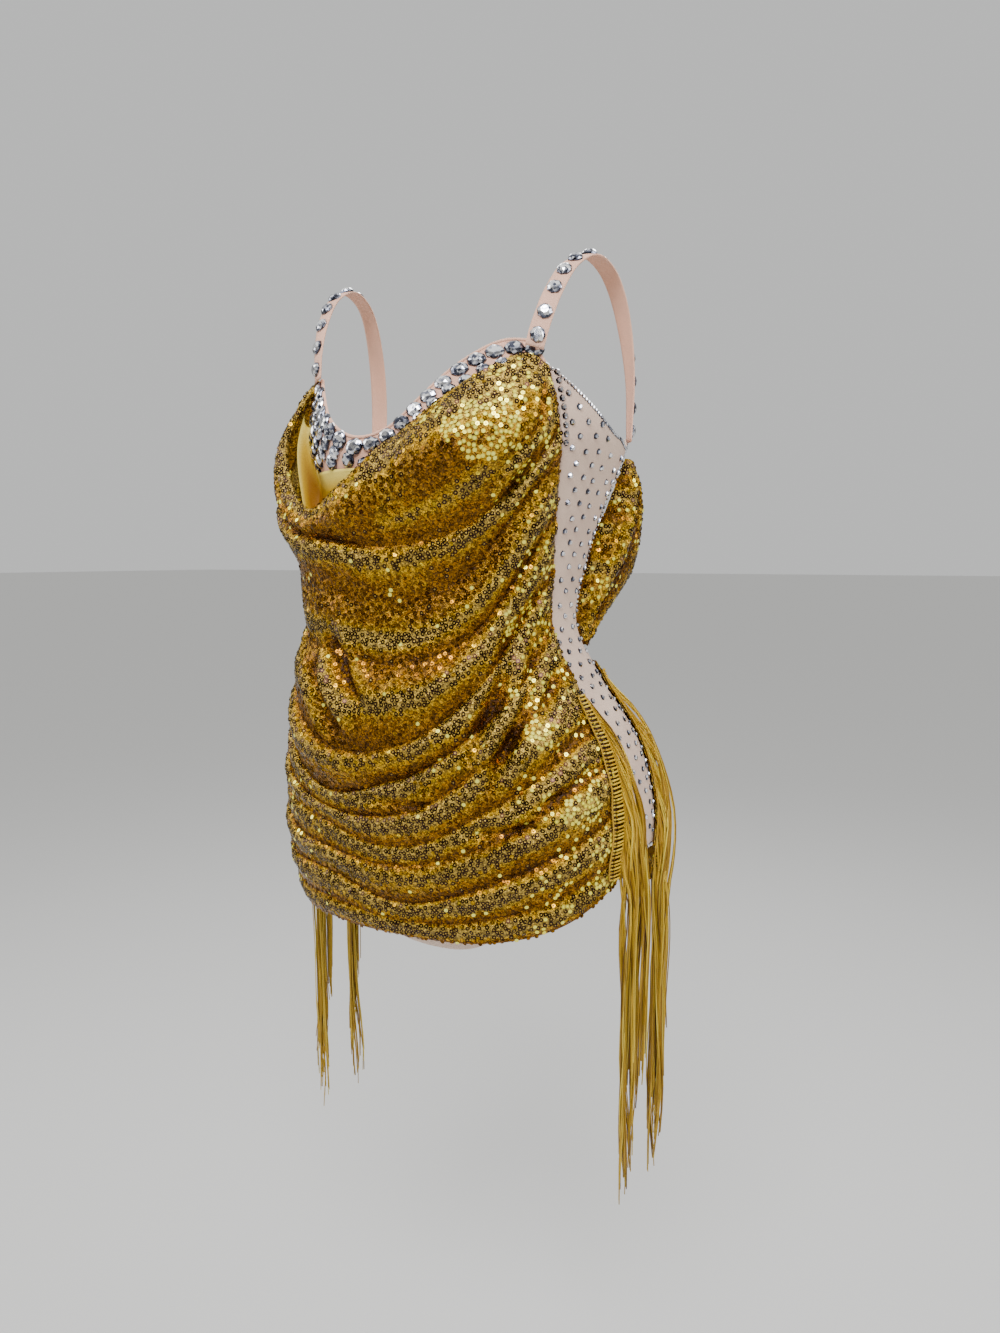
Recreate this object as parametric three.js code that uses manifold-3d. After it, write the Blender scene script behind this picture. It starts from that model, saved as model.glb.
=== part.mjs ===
// A sequin bodysuit for the stage: a nude body with crystal-set cups and straps, a cowl-necked sequin
// drape gathered into both side seams, a sequin swag across the open back, a sequin back skirt, and
// fringe down the four side edges.
// Millimetres, +Z up. The wearer faces -Y and the wearer's left is +X.
// The origin is midway between the two straps, at the height where they lie on the shoulders.
import * as THREE from "three";
import { mergeVertices } from "three/addons/utils/BufferGeometryUtils.js";
import Module from "manifold-3d";

const wasm = await Module();
wasm.setup();

// Cloth and trim
const BODY_CLOTH = 1.5;
const DRAPE_CLOTH = 1.6;
const FACING_CLOTH = 1.2;
const STRAP_CLOTH = 1.6;
const TAPE_CLOTH = 1.3;
const SEAM_GAP_DEG = 0.24;
const BACK_GAP_DEG = 0.34;
const LAYER_GAP = 0.5;
const TAPE_GAP = 0.8;
const DRAPE_EDGE_OUT = 4.4;
const NEAR_SKIN = 4;
const NORMAL = { turn: 1.2, rise: 3 };
const BODY_ROWS = 15;
const FRONT_COLUMNS = 16;
const SIDE_COLUMNS = 5;
const BACK_ROWS = 7;

// The general figure inside the garment, level by level: half is the half width, front and back are
// how far it reaches towards -Y and +Y, side is the Y of its widest place, and square is the power of
// the sine and cosine in its outline, lower for a squarer one.
const SECTIONS = [
  { z: -60, half: 152, front: 88, back: 86, side: 4, square: 0.74 },
  { z: -110, half: 158, front: 106, back: 96, side: 4, square: 0.74 },
  { z: -165, half: 158, front: 116, back: 100, side: 6, square: 0.76 },
  { z: -220, half: 139, front: 112, back: 92, side: 4, square: 0.82 },
  { z: -280, half: 122, front: 102, back: 80, side: -1, square: 0.86 },
  { z: -343, half: 115, front: 94, back: 72, side: -6, square: 0.88 },
  { z: -400, half: 136, front: 104, back: 96, side: 8, square: 0.88 },
  { z: -460, half: 168, front: 116, back: 128, side: 24, square: 0.88 },
  { z: -525, half: 183, front: 124, back: 148, side: 30, square: 0.86 },
  { z: -580, half: 184, front: 124, back: 148, side: 30, square: 0.86 },
  { z: -660, half: 178, front: 118, back: 140, side: 26, square: 0.86 },
];
const CUP = { x: 62, z: -178, depth: 24, wide: 40, tall: 46 };

// Where the cut edges lie round the figure, in degrees from the front: the front seam and the back
// edge of each side panel.
const SEAMS = [
  { z: -95, front: 45, back: 120 },
  { z: -165, front: 55, back: 117 },
  { z: -220, front: 62, back: 108 },
  { z: -280, front: 68, back: 104 },
  { z: -343, front: 72, back: 103 },
  { z: -400, front: 74, back: 104 },
  { z: -460, front: 74, back: 103 },
  { z: -525, front: 73, back: 100 },
  { z: -568, front: 71, back: 95 },
  { z: -620, front: 70, back: 92 },
];

// The neckline across the chest, from the right strap to the left one
const NECKLINE = [
  { x: -122, z: -96 },
  { x: -104, z: -122 },
  { x: -76, z: -150 },
  { x: -42, z: -168 },
  { x: -8, z: -160 },
  { x: 22, z: -135 },
  { x: 54, z: -107 },
  { x: 88, z: -88 },
  { x: 122, z: -90 },
];
const SEAM_TOP = -110;
const SEAM_BLEND = 0.1;
const NECK_GUESS = { z: -130, passes: 6 };
const LEG_TOP = -568;
const BACK_WAIST = -374;
const GUSSET_GAP = 0.8;
const BRIEF_SQUARE = 0.86;

// The top of each side panel, from its front seam (0) to its back edge (1)
const ARMHOLE = [
  { across: 0, z: -110 },
  { across: 0.3, z: -142 },
  { across: 0.55, z: -162 },
  { across: 0.8, z: -170 },
  { across: 1, z: -160 },
];

// The brief below the hip, row by row from the leg openings to the gusset seam: the edge of the leg
// opening (edgeX, edgeY, edgeZ) and the middle of the row (midY, midZ)
const FRONT_BRIEF = [
  { edgeX: 150, edgeY: -46, edgeZ: -584, midY: -122, midZ: -598 },
  { edgeX: 110, edgeY: -70, edgeZ: -606, midY: -112, midZ: -632 },
  { edgeX: 70, edgeY: -58, edgeZ: -636, midY: -84, midZ: -662 },
  { edgeX: 42, edgeY: -26, edgeZ: -664, midY: -40, midZ: -680 },
  { edgeX: 34, edgeY: 8, edgeZ: -676, midY: 8, midZ: -684 },
];
const BACK_BRIEF = [
  { edgeX: 158, edgeY: 74, edgeZ: -590, midY: 148, midZ: -604 },
  { edgeX: 118, edgeY: 92, edgeZ: -616, midY: 132, midZ: -644 },
  { edgeX: 72, edgeY: 74, edgeZ: -646, midY: 100, midZ: -672 },
  { edgeX: 42, edgeY: 40, edgeZ: -668, midY: 54, midZ: -682 },
  { edgeX: 34, edgeY: 8 + GUSSET_GAP, edgeZ: -676, midY: 8 + GUSSET_GAP, midZ: -684 },
];

// The drape's top edge. across runs from the right side seam (-1) to the left one (1), and out is how
// far the cloth stands off the figure.
const COWL_EDGE = [
  { across: -1, z: -106, out: 4.4 },
  { across: -0.92, z: -122, out: 15 },
  { across: -0.8, z: -158, out: 27 },
  { across: -0.62, z: -208, out: 38 },
  { across: -0.42, z: -233, out: 43 },
  { across: -0.22, z: -212, out: 33 },
  { across: -0.04, z: -182, out: 18 },
  { across: 0.16, z: -152, out: 8.5 },
  { across: 0.38, z: -127, out: 6.5 },
  { across: 0.62, z: -110, out: 5.6 },
  { across: 0.85, z: -104, out: 5 },
  { across: 1, z: -113, out: 4.4 },
];
// The tuck under each swag of the drape, from the top down: its height at seven places across, how far
// the cloth stands off the figure at three of them, and how far the swag above the tuck swells.
const PLACES = {
  right: -1, rightSide: -0.65, rightFront: -0.3, middle: 0, leftFront: 0.35, leftSide: 0.7, left: 1,
};
const OUT_PLACES = { outRight: -0.7, outFront: -0.25, outLeft: 0.4 };
const SWAGS = [
  { right: -152, rightSide: -240, rightFront: -260, middle: -266, leftFront: -250, leftSide: -212, left: -165,
    outRight: 50, outFront: 44, outLeft: 9, ridge: 12 },
  { right: -196, rightSide: -292, rightFront: -312, middle: -320, leftFront: -291, leftSide: -232, left: -186,
    outRight: 44, outFront: 42, outLeft: 10, ridge: 9 },
  { right: -262, rightSide: -350, rightFront: -367, middle: -376, leftFront: -350, leftSide: -289, left: -236,
    outRight: 44, outFront: 38, outLeft: 12, ridge: 10 },
  { right: -330, rightSide: -404, rightFront: -456, middle: -452, leftFront: -397, leftSide: -337, left: -290,
    outRight: 42, outFront: 30, outLeft: 12, ridge: 13 },
  { right: -376, rightSide: -456, rightFront: -502, middle: -484, leftFront: -430, leftSide: -381, left: -344,
    outRight: 34, outFront: 23, outLeft: 11, ridge: 12 },
  { right: -408, rightSide: -486, rightFront: -519, middle: -516, leftFront: -462, leftSide: -408, left: -384,
    outRight: 31, outFront: 20, outLeft: 10, ridge: 9 },
  { right: -440, rightSide: -512, rightFront: -534, middle: -547, leftFront: -505, leftSide: -462, left: -438,
    outRight: 28, outFront: 17, outLeft: 9, ridge: 9 },
  { right: -486, rightSide: -544, rightFront: -560, middle: -565, leftFront: -535, leftSide: -494, left: -470,
    outRight: 26, outFront: 15, outLeft: 8, ridge: 8 },
  { right: -536, rightSide: -578, rightFront: -587, middle: -602, leftFront: -575, leftSide: -544, left: -511,
    outRight: 24, outFront: 14, outLeft: 8, ridge: 9 },
  { right: -572, rightSide: -608, rightFront: -614, middle: -619, leftFront: -609, leftSide: -586, left: -556,
    outRight: 20, outFront: 13, outLeft: 7, ridge: 8 },
  { right: -600, rightSide: -632, rightFront: -636, middle: -636, leftFront: -633, leftSide: -617, left: -586,
    outRight: 16, outFront: 12, outLeft: 6, ridge: 6 },
];
// A swag swells most at a share of its fall, and fully where its fall is long enough
const CREST_AT = 0.55;
const CREST_FULL = 46;
const SWELL = { least: 0.15, most: 1.2, edgePower: 5 };
const COWL_STEPS = [0.14, 0.34, 0.56, 0.78, 1];
const SWAG_STEPS = [0.3, 0.62, 1];
const DRAPE_COLUMNS = 26;

// The facing turned in behind the cowl: how far it runs across the front, and its hollow
const FACING = {
  from: -0.86, to: -0.24, below: 45, hollow: 24, hollowFull: 22, least: 0.5, aboveEdge: 4, underEdge: 1,
};
const FACING_ROWS = 7;
const FACING_COLUMNS = 13;

// The back swag hangs from its two side edges: height at the edges and in the middle, stand-off in the
// middle, and how far each swag stands out above its tuck
const BACK_SWAGS = [
  { edge: -178, mid: -262, out: 42, ridge: 0 },
  { edge: -206, mid: -290, out: 68, ridge: 7 },
  { edge: -236, mid: -316, out: 80, ridge: 8 },
  { edge: -268, mid: -338, out: 78, ridge: 8 },
  { edge: -304, mid: -358, out: 58, ridge: 8 },
  { edge: -338, mid: -368, out: 30, ridge: 6 },
  { edge: -366, mid: -376, out: 5, ridge: 0 },
];
const BACK_SKIRT = [
  { edge: -384, mid: -390, out: 4, ridge: 0 },
  { edge: -420, mid: -432, out: 9, ridge: 5 },
  { edge: -456, mid: -474, out: 12, ridge: 6 },
  { edge: -490, mid: -514, out: 14, ridge: 7 },
  { edge: -522, mid: -552, out: 16, ridge: 7 },
  { edge: -552, mid: -588, out: 17, ridge: 7 },
  { edge: -580, mid: -622, out: 17, ridge: 7 },
  { edge: -602, mid: -652, out: 14, ridge: 5 },
];
const BACK_STEPS = [0.4, 0.75, 1];
const BACK_COLUMNS = 16;
const BACK_TAPE_SHARE = 0.024;
const BACK_SPREAD = { swag: 0.5, skirt: 0.9, dip: 1.3 };
const BACK_RIDGE = { rise: 1.4, start: 0.3 };

// The left strap's middle line, from the cup over the shoulder to the back edge of the side panel, and
// the way its width lies, in degrees from +X
const STRAP_LINE = [
  { x: 119, y: -93, z: -96, turn: 34 },
  { x: 122, y: -87, z: -76, turn: 28 },
  { x: 127, y: -72, z: -45, turn: 18 },
  { x: 132, y: -48, z: -17, turn: 12 },
  { x: 137, y: -12, z: -1, turn: 8 },
  { x: 142, y: 22, z: -11, turn: 2 },
  { x: 147, y: 44, z: -44, turn: -14 },
  { x: 151, y: 57, z: -100, turn: -38 },
  { x: 151.6, y: 55.8, z: -164, turn: -54 },
];
const STRAP_FOOT = { left: -96, right: -105 };
const STRAP_WIDTH = 17;
const STRAP_STEPS = 22;
const STRAP_CRYSTALS = 14;
const STRAP_END = 0.03;

// Large crystals: six-sided, standing on the cloth
const CRYSTAL = { radius: 6.6, table: 3.4, height: 4, sink: 1, sides: 6 };
const NECK_ROWS = [
  { below: 8, from: -0.92, to: 0.84, count: 19, scale: 1 },
  { below: 21, from: -0.86, to: -0.14, count: 8, scale: 1 },
  { below: 34, from: -0.8, to: -0.26, count: 6, scale: 0.95 },
];

// Fringe: chainette strands on a sewn tape
const FRINGE = { strands: 21, length: 316, radius: 1, layers: 2, layerStep: 2.8, turn: 2.4, uneven: 6 };
const ROOT = { depth: 0.6, inset: 2, drop: 7, step: 100 };
const FRINGE_FRONT = { top: -405, bottom: -584, out: 11, bundle: 52, leadLeft: 12, leadRight: 5 };
const FRINGE_BACK = { top: -388, bottom: -596, out: 17, bundle: 44, leadLeft: 10, leadRight: 10 };
const FRINGE_HANG = -606;

const radians = (degrees) => (degrees * Math.PI) / 180;
const degrees = (angle) => (angle * 180) / Math.PI;
const mix = (a, b, t) => a + (b - a) * t;
const clamp = (v, low, high) => Math.min(high, Math.max(low, v));
const smooth = (t) => {
  const s = clamp(t, 0, 1);
  return s * s * (3 - 2 * s);
};
const power = (v, p) => Math.sign(v) * Math.pow(Math.abs(v), p);

// A smooth curve through one column of a table, read by another column
function curve(table, key, name) {
  const rows = [...table].sort((a, b) => a[key] - b[key]);
  const slope = rows.map((row, i) => {
    const low = rows[Math.max(0, i - 1)];
    const high = rows[Math.min(rows.length - 1, i + 1)];
    return (high[name] - low[name]) / (high[key] - low[key]);
  });
  return (at) => {
    const v = clamp(at, rows[0][key], rows[rows.length - 1][key]);
    let i = 0;
    while (i < rows.length - 2 && v > rows[i + 1][key]) i += 1;
    const step = rows[i + 1][key] - rows[i][key];
    const t = (v - rows[i][key]) / step;
    const rise = smooth(t);
    return (
      mix(rows[i][name], rows[i + 1][name], rise) +
      step * t * (1 - t) * (slope[i] * (1 - t) - slope[i + 1] * t)
    );
  };
}

const section = Object.fromEntries(
  ["half", "front", "back", "side", "square"].map((name) => [name, curve(SECTIONS, "z", name)]),
);
const frontSeam = curve(SEAMS, "z", "front");
const backSeam = curve(SEAMS, "z", "back");
const neckline = curve(NECKLINE, "x", "z");
const armhole = curve(ARMHOLE, "across", "z");
const cowlHeight = curve(COWL_EDGE, "across", "z");
const cowlOut = curve(COWL_EDGE, "across", "out");

// The curve of one swag across the drape, through the places that a table of places names
const acrossCurve = (swag, places) =>
  curve(Object.entries(places).map(([name, across]) => ({ across, value: swag[name] })), "across", "value");
const swagCurves = SWAGS.map((swag) => ({
  z: acrossCurve(swag, PLACES),
  out: acrossCurve(
    { ...swag, right: DRAPE_EDGE_OUT, left: DRAPE_EDGE_OUT },
    { right: PLACES.right, ...OUT_PLACES, left: PLACES.left },
  ),
}));

// A point of the figure, by its angle from the front in degrees and its height
function figure(angle, z) {
  const s = Math.sin(radians(angle));
  const c = Math.cos(radians(angle));
  const square = section.square(z);
  const side = section.side(z);
  const x = section.half(z) * power(s, square);
  const reach = c > 0 ? section.front(z) + side : section.back(z) - side;
  let y = side - reach * power(c, square);
  if (c > 0) {
    const tall = Math.exp(-(((z - CUP.z) / CUP.tall) ** 2) / 2);
    for (const cup of [-CUP.x, CUP.x]) y -= CUP.depth * tall * Math.exp(-(((x - cup) / CUP.wide) ** 2) / 2);
  }
  return new THREE.Vector3(x, y, z);
}

// A point that stands off the figure: first along its normal, and past NEAR_SKIN level, as loose cloth
// that hangs clear of it does
function skin(angle, z, out) {
  const round = figure(angle + NORMAL.turn, z).sub(figure(angle - NORMAL.turn, z));
  const down = figure(angle, z - NORMAL.rise).sub(figure(angle, z + NORMAL.rise));
  const normal = down.cross(round).normalize();
  const level = new THREE.Vector3(normal.x, normal.y, 0).normalize();
  const point = figure(angle, z).addScaledVector(normal, Math.min(out, NEAR_SKIN));
  return point.addScaledVector(level, Math.max(out - NEAR_SKIN, 0));
}

// Outward normals of a grid of points whose rows run down and whose columns run to the wearer's left
function normalsOf(grid) {
  const last = grid.length - 1;
  return grid.map((row, i) =>
    row.map((_, j) => {
      const end = row.length - 1;
      const down = grid[Math.min(last, i + 1)][j].clone().sub(grid[Math.max(0, i - 1)][j]);
      const across = row[Math.min(end, j + 1)].clone().sub(row[Math.max(0, j - 1)]);
      return down.cross(across).normalize();
    }),
  );
}

function movedOut(grid, distance) {
  const normals = normalsOf(grid);
  return grid.map((row, i) => row.map((p, j) => p.clone().addScaledVector(normals[i][j], distance)));
}

// A closed wall between a grid of outer points and the same grid moved in by its thickness
function wall(outer, thickness) {
  const inner = movedOut(outer, -thickness);
  const rows = outer.length;
  const columns = outer[0].length;
  const positions = [...outer.flat(), ...inner.flat()].flatMap((p) => [p.x, p.y, p.z]);
  const at = (i, j) => i * columns + j;
  const inside = (k) => k + rows * columns;
  const index = [];
  const quad = (a, d, c, b) => {
    index.push(a, d, b, b, d, c);
    index.push(inside(a), inside(b), inside(d), inside(b), inside(c), inside(d));
  };
  const rim = (a, b) => index.push(a, b, inside(b), a, inside(b), inside(a));
  for (let i = 0; i < rows - 1; i += 1) {
    for (let j = 0; j < columns - 1; j += 1) quad(at(i, j), at(i + 1, j), at(i + 1, j + 1), at(i, j + 1));
    rim(at(i + 1, 0), at(i, 0));
    rim(at(i, columns - 1), at(i + 1, columns - 1));
  }
  for (let j = 0; j < columns - 1; j += 1) {
    rim(at(0, j), at(0, j + 1));
    rim(at(rows - 1, j + 1), at(rows - 1, j));
  }
  return new THREE.BufferGeometry()
    .setAttribute("position", new THREE.Float32BufferAttribute(positions, 3))
    .setIndex(index);
}

function solidOf(geometry) {
  const plain = geometry.clone();
  for (const name of ["normal", "uv"]) plain.deleteAttribute(name);
  const merged = mergeVertices(plain, 1e-3);
  const mesh = new wasm.Mesh({
    numProp: 3,
    vertProperties: new Float32Array(merged.attributes.position.array),
    triVerts: new Uint32Array(merged.index.array),
  });
  return new wasm.Manifold(mesh);
}

function geometryOf(solid) {
  const mesh = solid.getMesh();
  return new THREE.BufferGeometry()
    .setAttribute("position", new THREE.BufferAttribute(new Float32Array(mesh.vertProperties), 3))
    .setIndex(new THREE.BufferAttribute(new Uint32Array(mesh.triVerts), 1));
}

function joined(geometry, additions) {
  let solid = solidOf(geometry);
  for (const extra of additions) solid = solid.add(solidOf(extra));
  return geometryOf(solid);
}

const mirrorGrid = (grid) =>
  grid.map((row) => [...row].reverse().map((p) => new THREE.Vector3(-p.x, p.y, p.z)));

function mirrored(geometry) {
  const copy = (geometry.index ? geometry.toNonIndexed() : geometry.clone()).scale(-1, 1, 1);
  const p = copy.attributes.position;
  for (let i = 0; i < p.count; i += 3) {
    const [x, y, z] = [p.getX(i + 1), p.getY(i + 1), p.getZ(i + 1)];
    p.setXYZ(i + 1, p.getX(i + 2), p.getY(i + 2), p.getZ(i + 2));
    p.setXYZ(i + 2, x, y, z);
  }
  copy.deleteAttribute("normal");
  return mergeVertices(copy, 1e-3);
}

// A crystal: a flat-topped cone whose foot sinks a little into the cloth
function crystal(centre, normal, scale) {
  const height = CRYSTAL.height + CRYSTAL.sink;
  const { table, radius, sides } = CRYSTAL;
  const cone = new THREE.CylinderGeometry(table * scale, radius * scale, height, sides, 1);
  cone.translate(0, height / 2 - CRYSTAL.sink, 0);
  cone.applyQuaternion(new THREE.Quaternion().setFromUnitVectors(new THREE.Vector3(0, 1, 0), normal));
  return cone.translate(centre.x, centre.y, centre.z);
}

// The nude body: front, back and side panels
const steps = (count) => Array.from({ length: count + 1 }, (_, i) => i / count);

// The height of the body's top edge at a share of the way across the front
function neckHeight(across) {
  let z = NECK_GUESS.z;
  for (let i = 0; i < NECK_GUESS.passes; i += 1) z = neckline(figure(across * frontSeam(z), z).x);
  return mix(z, SEAM_TOP, smooth((Math.abs(across) - 1 + SEAM_BLEND) / SEAM_BLEND));
}

function bodyFrontPoint(across, z) {
  const edge = frontSeam(z) - SEAM_GAP_DEG;
  return skin(across * edge, z, BODY_CLOTH);
}

function briefRow(row, columns, back) {
  return steps(columns).map((share) => {
    const turn = radians((share * 2 - 1) * 90);
    const x = row.edgeX * power(Math.sin(turn), BRIEF_SQUARE);
    const lift = power(Math.cos(turn), BRIEF_SQUARE);
    const y = mix(row.edgeY, row.midY, lift);
    const z = mix(row.edgeZ, row.midZ, lift);
    return new THREE.Vector3(back ? -x : x, y, z);
  });
}

function bodyFront() {
  const across = steps(FRONT_COLUMNS).map((s) => s * 2 - 1);
  const grid = steps(BODY_ROWS).map((down) =>
    across.map((a) => bodyFrontPoint(a, mix(neckHeight(a), LEG_TOP, down))),
  );
  for (const row of FRONT_BRIEF) grid.push(briefRow(row, FRONT_COLUMNS, false));
  return grid;
}

function bodyBack() {
  const shares = steps(FRONT_COLUMNS);
  const grid = steps(BACK_ROWS).map((down) => {
    const z = mix(BACK_WAIST, LEG_TOP, down);
    const edge = backSeam(z) + SEAM_GAP_DEG;
    return shares.map((s) => skin(mix(edge, 360 - edge, s), z, BODY_CLOTH));
  });
  for (const row of BACK_BRIEF) grid.push(briefRow(row, FRONT_COLUMNS, true));
  return grid;
}

function sidePanel() {
  return steps(BODY_ROWS).map((down) =>
    steps(SIDE_COLUMNS).map((share) => {
      const z = mix(armhole(share), LEG_TOP, down);
      const from = frontSeam(z) + SEAM_GAP_DEG;
      const to = backSeam(z) - SEAM_GAP_DEG;
      return skin(mix(from, to, share), z, BODY_CLOTH);
    }),
  );
}

// The point and outward normal at a place on a grid, in rows and columns
function onGrid(grid, row, column) {
  const i = clamp(Math.floor(row), 0, grid.length - 2);
  const j = clamp(Math.floor(column), 0, grid[0].length - 2);
  const [down, across] = [row - i, column - j];
  const left = grid[i][j].clone().lerp(grid[i + 1][j], down);
  const right = grid[i][j + 1].clone().lerp(grid[i + 1][j + 1], down);
  const run = grid[i + 1][j].clone().lerp(grid[i + 1][j + 1], across);
  run.sub(grid[i][j].clone().lerp(grid[i][j + 1], across));
  const normal = run.cross(right.clone().sub(left)).normalize();
  return { point: left.lerp(right, across), normal };
}

function neckCrystals(grid) {
  return NECK_ROWS.flatMap((row) =>
    steps(row.count - 1).map((s) => {
      const across = mix(row.from, row.to, s);
      const top = neckHeight(across);
      const down = (row.below / (top - LEG_TOP)) * BODY_ROWS;
      const { point, normal } = onGrid(grid, down, ((across + 1) / 2) * FRONT_COLUMNS);
      return crystal(point, normal, row.scale);
    }),
  );
}

// The drape: cloth that falls in swags between the two side seams. How far a swag stands out runs from
// the tuck above it (0) to its own tuck (1).
function crest(share) {
  if (share < CREST_AT) return Math.sin((Math.PI / 2) * (share / CREST_AT));
  return Math.cos((Math.PI / 2) * ((share - CREST_AT) / (1 - CREST_AT)));
}

function drapeLine(level, across) {
  if (level < 0) return { z: cowlHeight(across), out: cowlOut(across) };
  return { z: swagCurves[level].z(across), out: swagCurves[level].out(across) };
}

function drapePoint(level, share, across) {
  const above = drapeLine(level - 1, across);
  const below = drapeLine(level, across);
  const fade = 1 - Math.pow(Math.abs(across), SWELL.edgePower);
  const swell = SWAGS[level].ridge * clamp((above.z - below.z) / CREST_FULL, SWELL.least, SWELL.most);
  const z = mix(above.z, below.z, share);
  const out = mix(above.out, below.out, share) + swell * crest(share) * fade;
  return skin(across * frontSeam(z), z, out);
}

function frontDrape() {
  const across = steps(DRAPE_COLUMNS).map((s) => s * 2 - 1);
  const grid = [across.map((a) => drapePoint(0, 0, a))];
  SWAGS.forEach((_, level) => {
    const shares = level === 0 ? COWL_STEPS : SWAG_STEPS;
    for (const share of shares) grid.push(across.map((a) => drapePoint(level, share, a)));
  });
  return grid;
}

// The facing behind the cowl: from the body, down into a hollow and up to the cowl's edge
function cowlFacing() {
  const grid = [];
  for (const down of steps(FACING_ROWS)) {
    grid.push(
      steps(FACING_COLUMNS).map((s) => {
        const across = mix(FACING.from, FACING.to, s);
        const edge = drapeLine(-1, across);
        const edgeOut = edge.out - DRAPE_CLOTH - FACING_CLOTH - LAYER_GAP * 2;
        const bodyTop = Math.max(neckHeight(across) - FACING.below, edge.z + FACING.aboveEdge);
        const bodyOut = BODY_CLOTH + FACING_CLOTH + LAYER_GAP * 2;
        const room = smooth((edgeOut - bodyOut) / FACING.hollowFull);
        const deep = FACING.hollow * Math.sin(Math.PI * down) * room;
        const z = mix(bodyTop, edge.z - FACING.underEdge, down) - deep;
        const out = mix(bodyOut, Math.max(edgeOut, bodyOut + FACING.least), smooth(down));
        return skin(across * frontSeam(edge.z), z, out);
      }),
    );
  }
  return grid;
}

// The back pieces: cloth in swags between the two back edges
function backPiece(table, spread) {
  const inner = steps(BACK_COLUMNS - 2).map((s) => mix(BACK_TAPE_SHARE, 1 - BACK_TAPE_SHARE, s));
  const shares = [0, ...inner, 1];
  const point = (level, step, s) => {
    const above = table[Math.max(0, level - 1)];
    const below = table[level];
    const belly = Math.pow(Math.sin(Math.PI * s), spread);
    const dip = Math.pow(Math.sin(Math.PI * s), BACK_SPREAD.dip);
    const z = mix(mix(above.edge, below.edge, step), mix(above.mid, below.mid, step), dip);
    const ridge = below.ridge * crest(step) * smooth(belly * BACK_RIDGE.rise - BACK_RIDGE.start);
    const out = mix(above.out, below.out, step) * belly + ridge;
    const edge = backSeam(z) + BACK_GAP_DEG;
    return skin(mix(edge, 360 - edge, s), z, DRAPE_EDGE_OUT + out);
  };
  const grid = [shares.map((s) => point(0, 0, s))];
  for (let level = 1; level < table.length; level += 1) {
    for (const step of BACK_STEPS) grid.push(shares.map((s) => point(level, step, s)));
  }
  return grid;
}

// The left strap, with its crystals along the outer side
function strap(foot) {
  const points = STRAP_LINE.map((p) => new THREE.Vector3(p.x, p.y, p.z));
  points[0].setZ(foot);
  const line = new THREE.CatmullRomCurve3(points);
  const turns = STRAP_LINE.map((p, i) => ({ at: i / (STRAP_LINE.length - 1), turn: p.turn }));
  const turnAt = curve(turns, "at", "turn");
  const placeAt = (t) => {
    const along = line.getTangent(t);
    const turn = radians(turnAt(t));
    const across = new THREE.Vector3(Math.cos(turn), Math.sin(turn), 0);
    across.addScaledVector(along, -across.dot(along)).normalize();
    return { centre: line.getPoint(t), across, out: across.clone().cross(along).normalize() };
  };
  const even = (s) => line.getUtoTmapping(s);
  const grid = steps(STRAP_STEPS).map((s) => {
    const { centre, across } = placeAt(even(s));
    return [1, -1].map((side) => centre.clone().addScaledVector(across, (side * STRAP_WIDTH) / 2));
  });
  const crystals = steps(STRAP_CRYSTALS - 1).map((s) => {
    const { centre, out } = placeAt(even(mix(STRAP_END, 1 - STRAP_END, s)));
    return crystal(centre, out, 1);
  });
  return joined(wall(grid, STRAP_CLOTH), crystals);
}

// A strand: a three-sided cord along a list of points
function strand(points) {
  const sides = 3;
  const positions = [];
  const index = [];
  const last = points.length - 1;
  points.forEach((p, i) => {
    const along = points[Math.min(last, i + 1)].clone().sub(points[Math.max(0, i - 1)]).normalize();
    const a = new THREE.Vector3(0, 1, 0.05).cross(along).normalize();
    const b = along.clone().cross(a);
    for (let k = 0; k < sides; k += 1) {
      const turn = (2 * Math.PI * k) / sides;
      const q = p.clone().addScaledVector(a, Math.cos(turn) * FRINGE.radius);
      q.addScaledVector(b, Math.sin(turn) * FRINGE.radius);
      positions.push(q.x, q.y, q.z);
    }
  });
  for (let i = 0; i < last; i += 1) {
    for (let k = 0; k < sides; k += 1) {
      const next = (k + 1) % sides;
      const [a, b, c, d] = [i * sides + k, i * sides + next, (i + 1) * sides + next, (i + 1) * sides + k];
      index.push(a, b, c, a, c, d);
    }
  }
  const end = last * sides;
  index.push(0, 2, 1, end, end + 1, end + 2);
  return new THREE.BufferGeometry()
    .setAttribute("position", new THREE.Float32BufferAttribute(positions, 3))
    .setIndex(index);
}

// The point at a height on a line of points that runs down
function pointAtHeight(line, z) {
  let i = 0;
  while (i < line.length - 2 && line[i + 1].z > z) i += 1;
  const share = (line[i].z - z) / (line[i].z - line[i + 1].z);
  return line[i].clone().lerp(line[i + 1], clamp(share, 0, 1));
}

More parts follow.
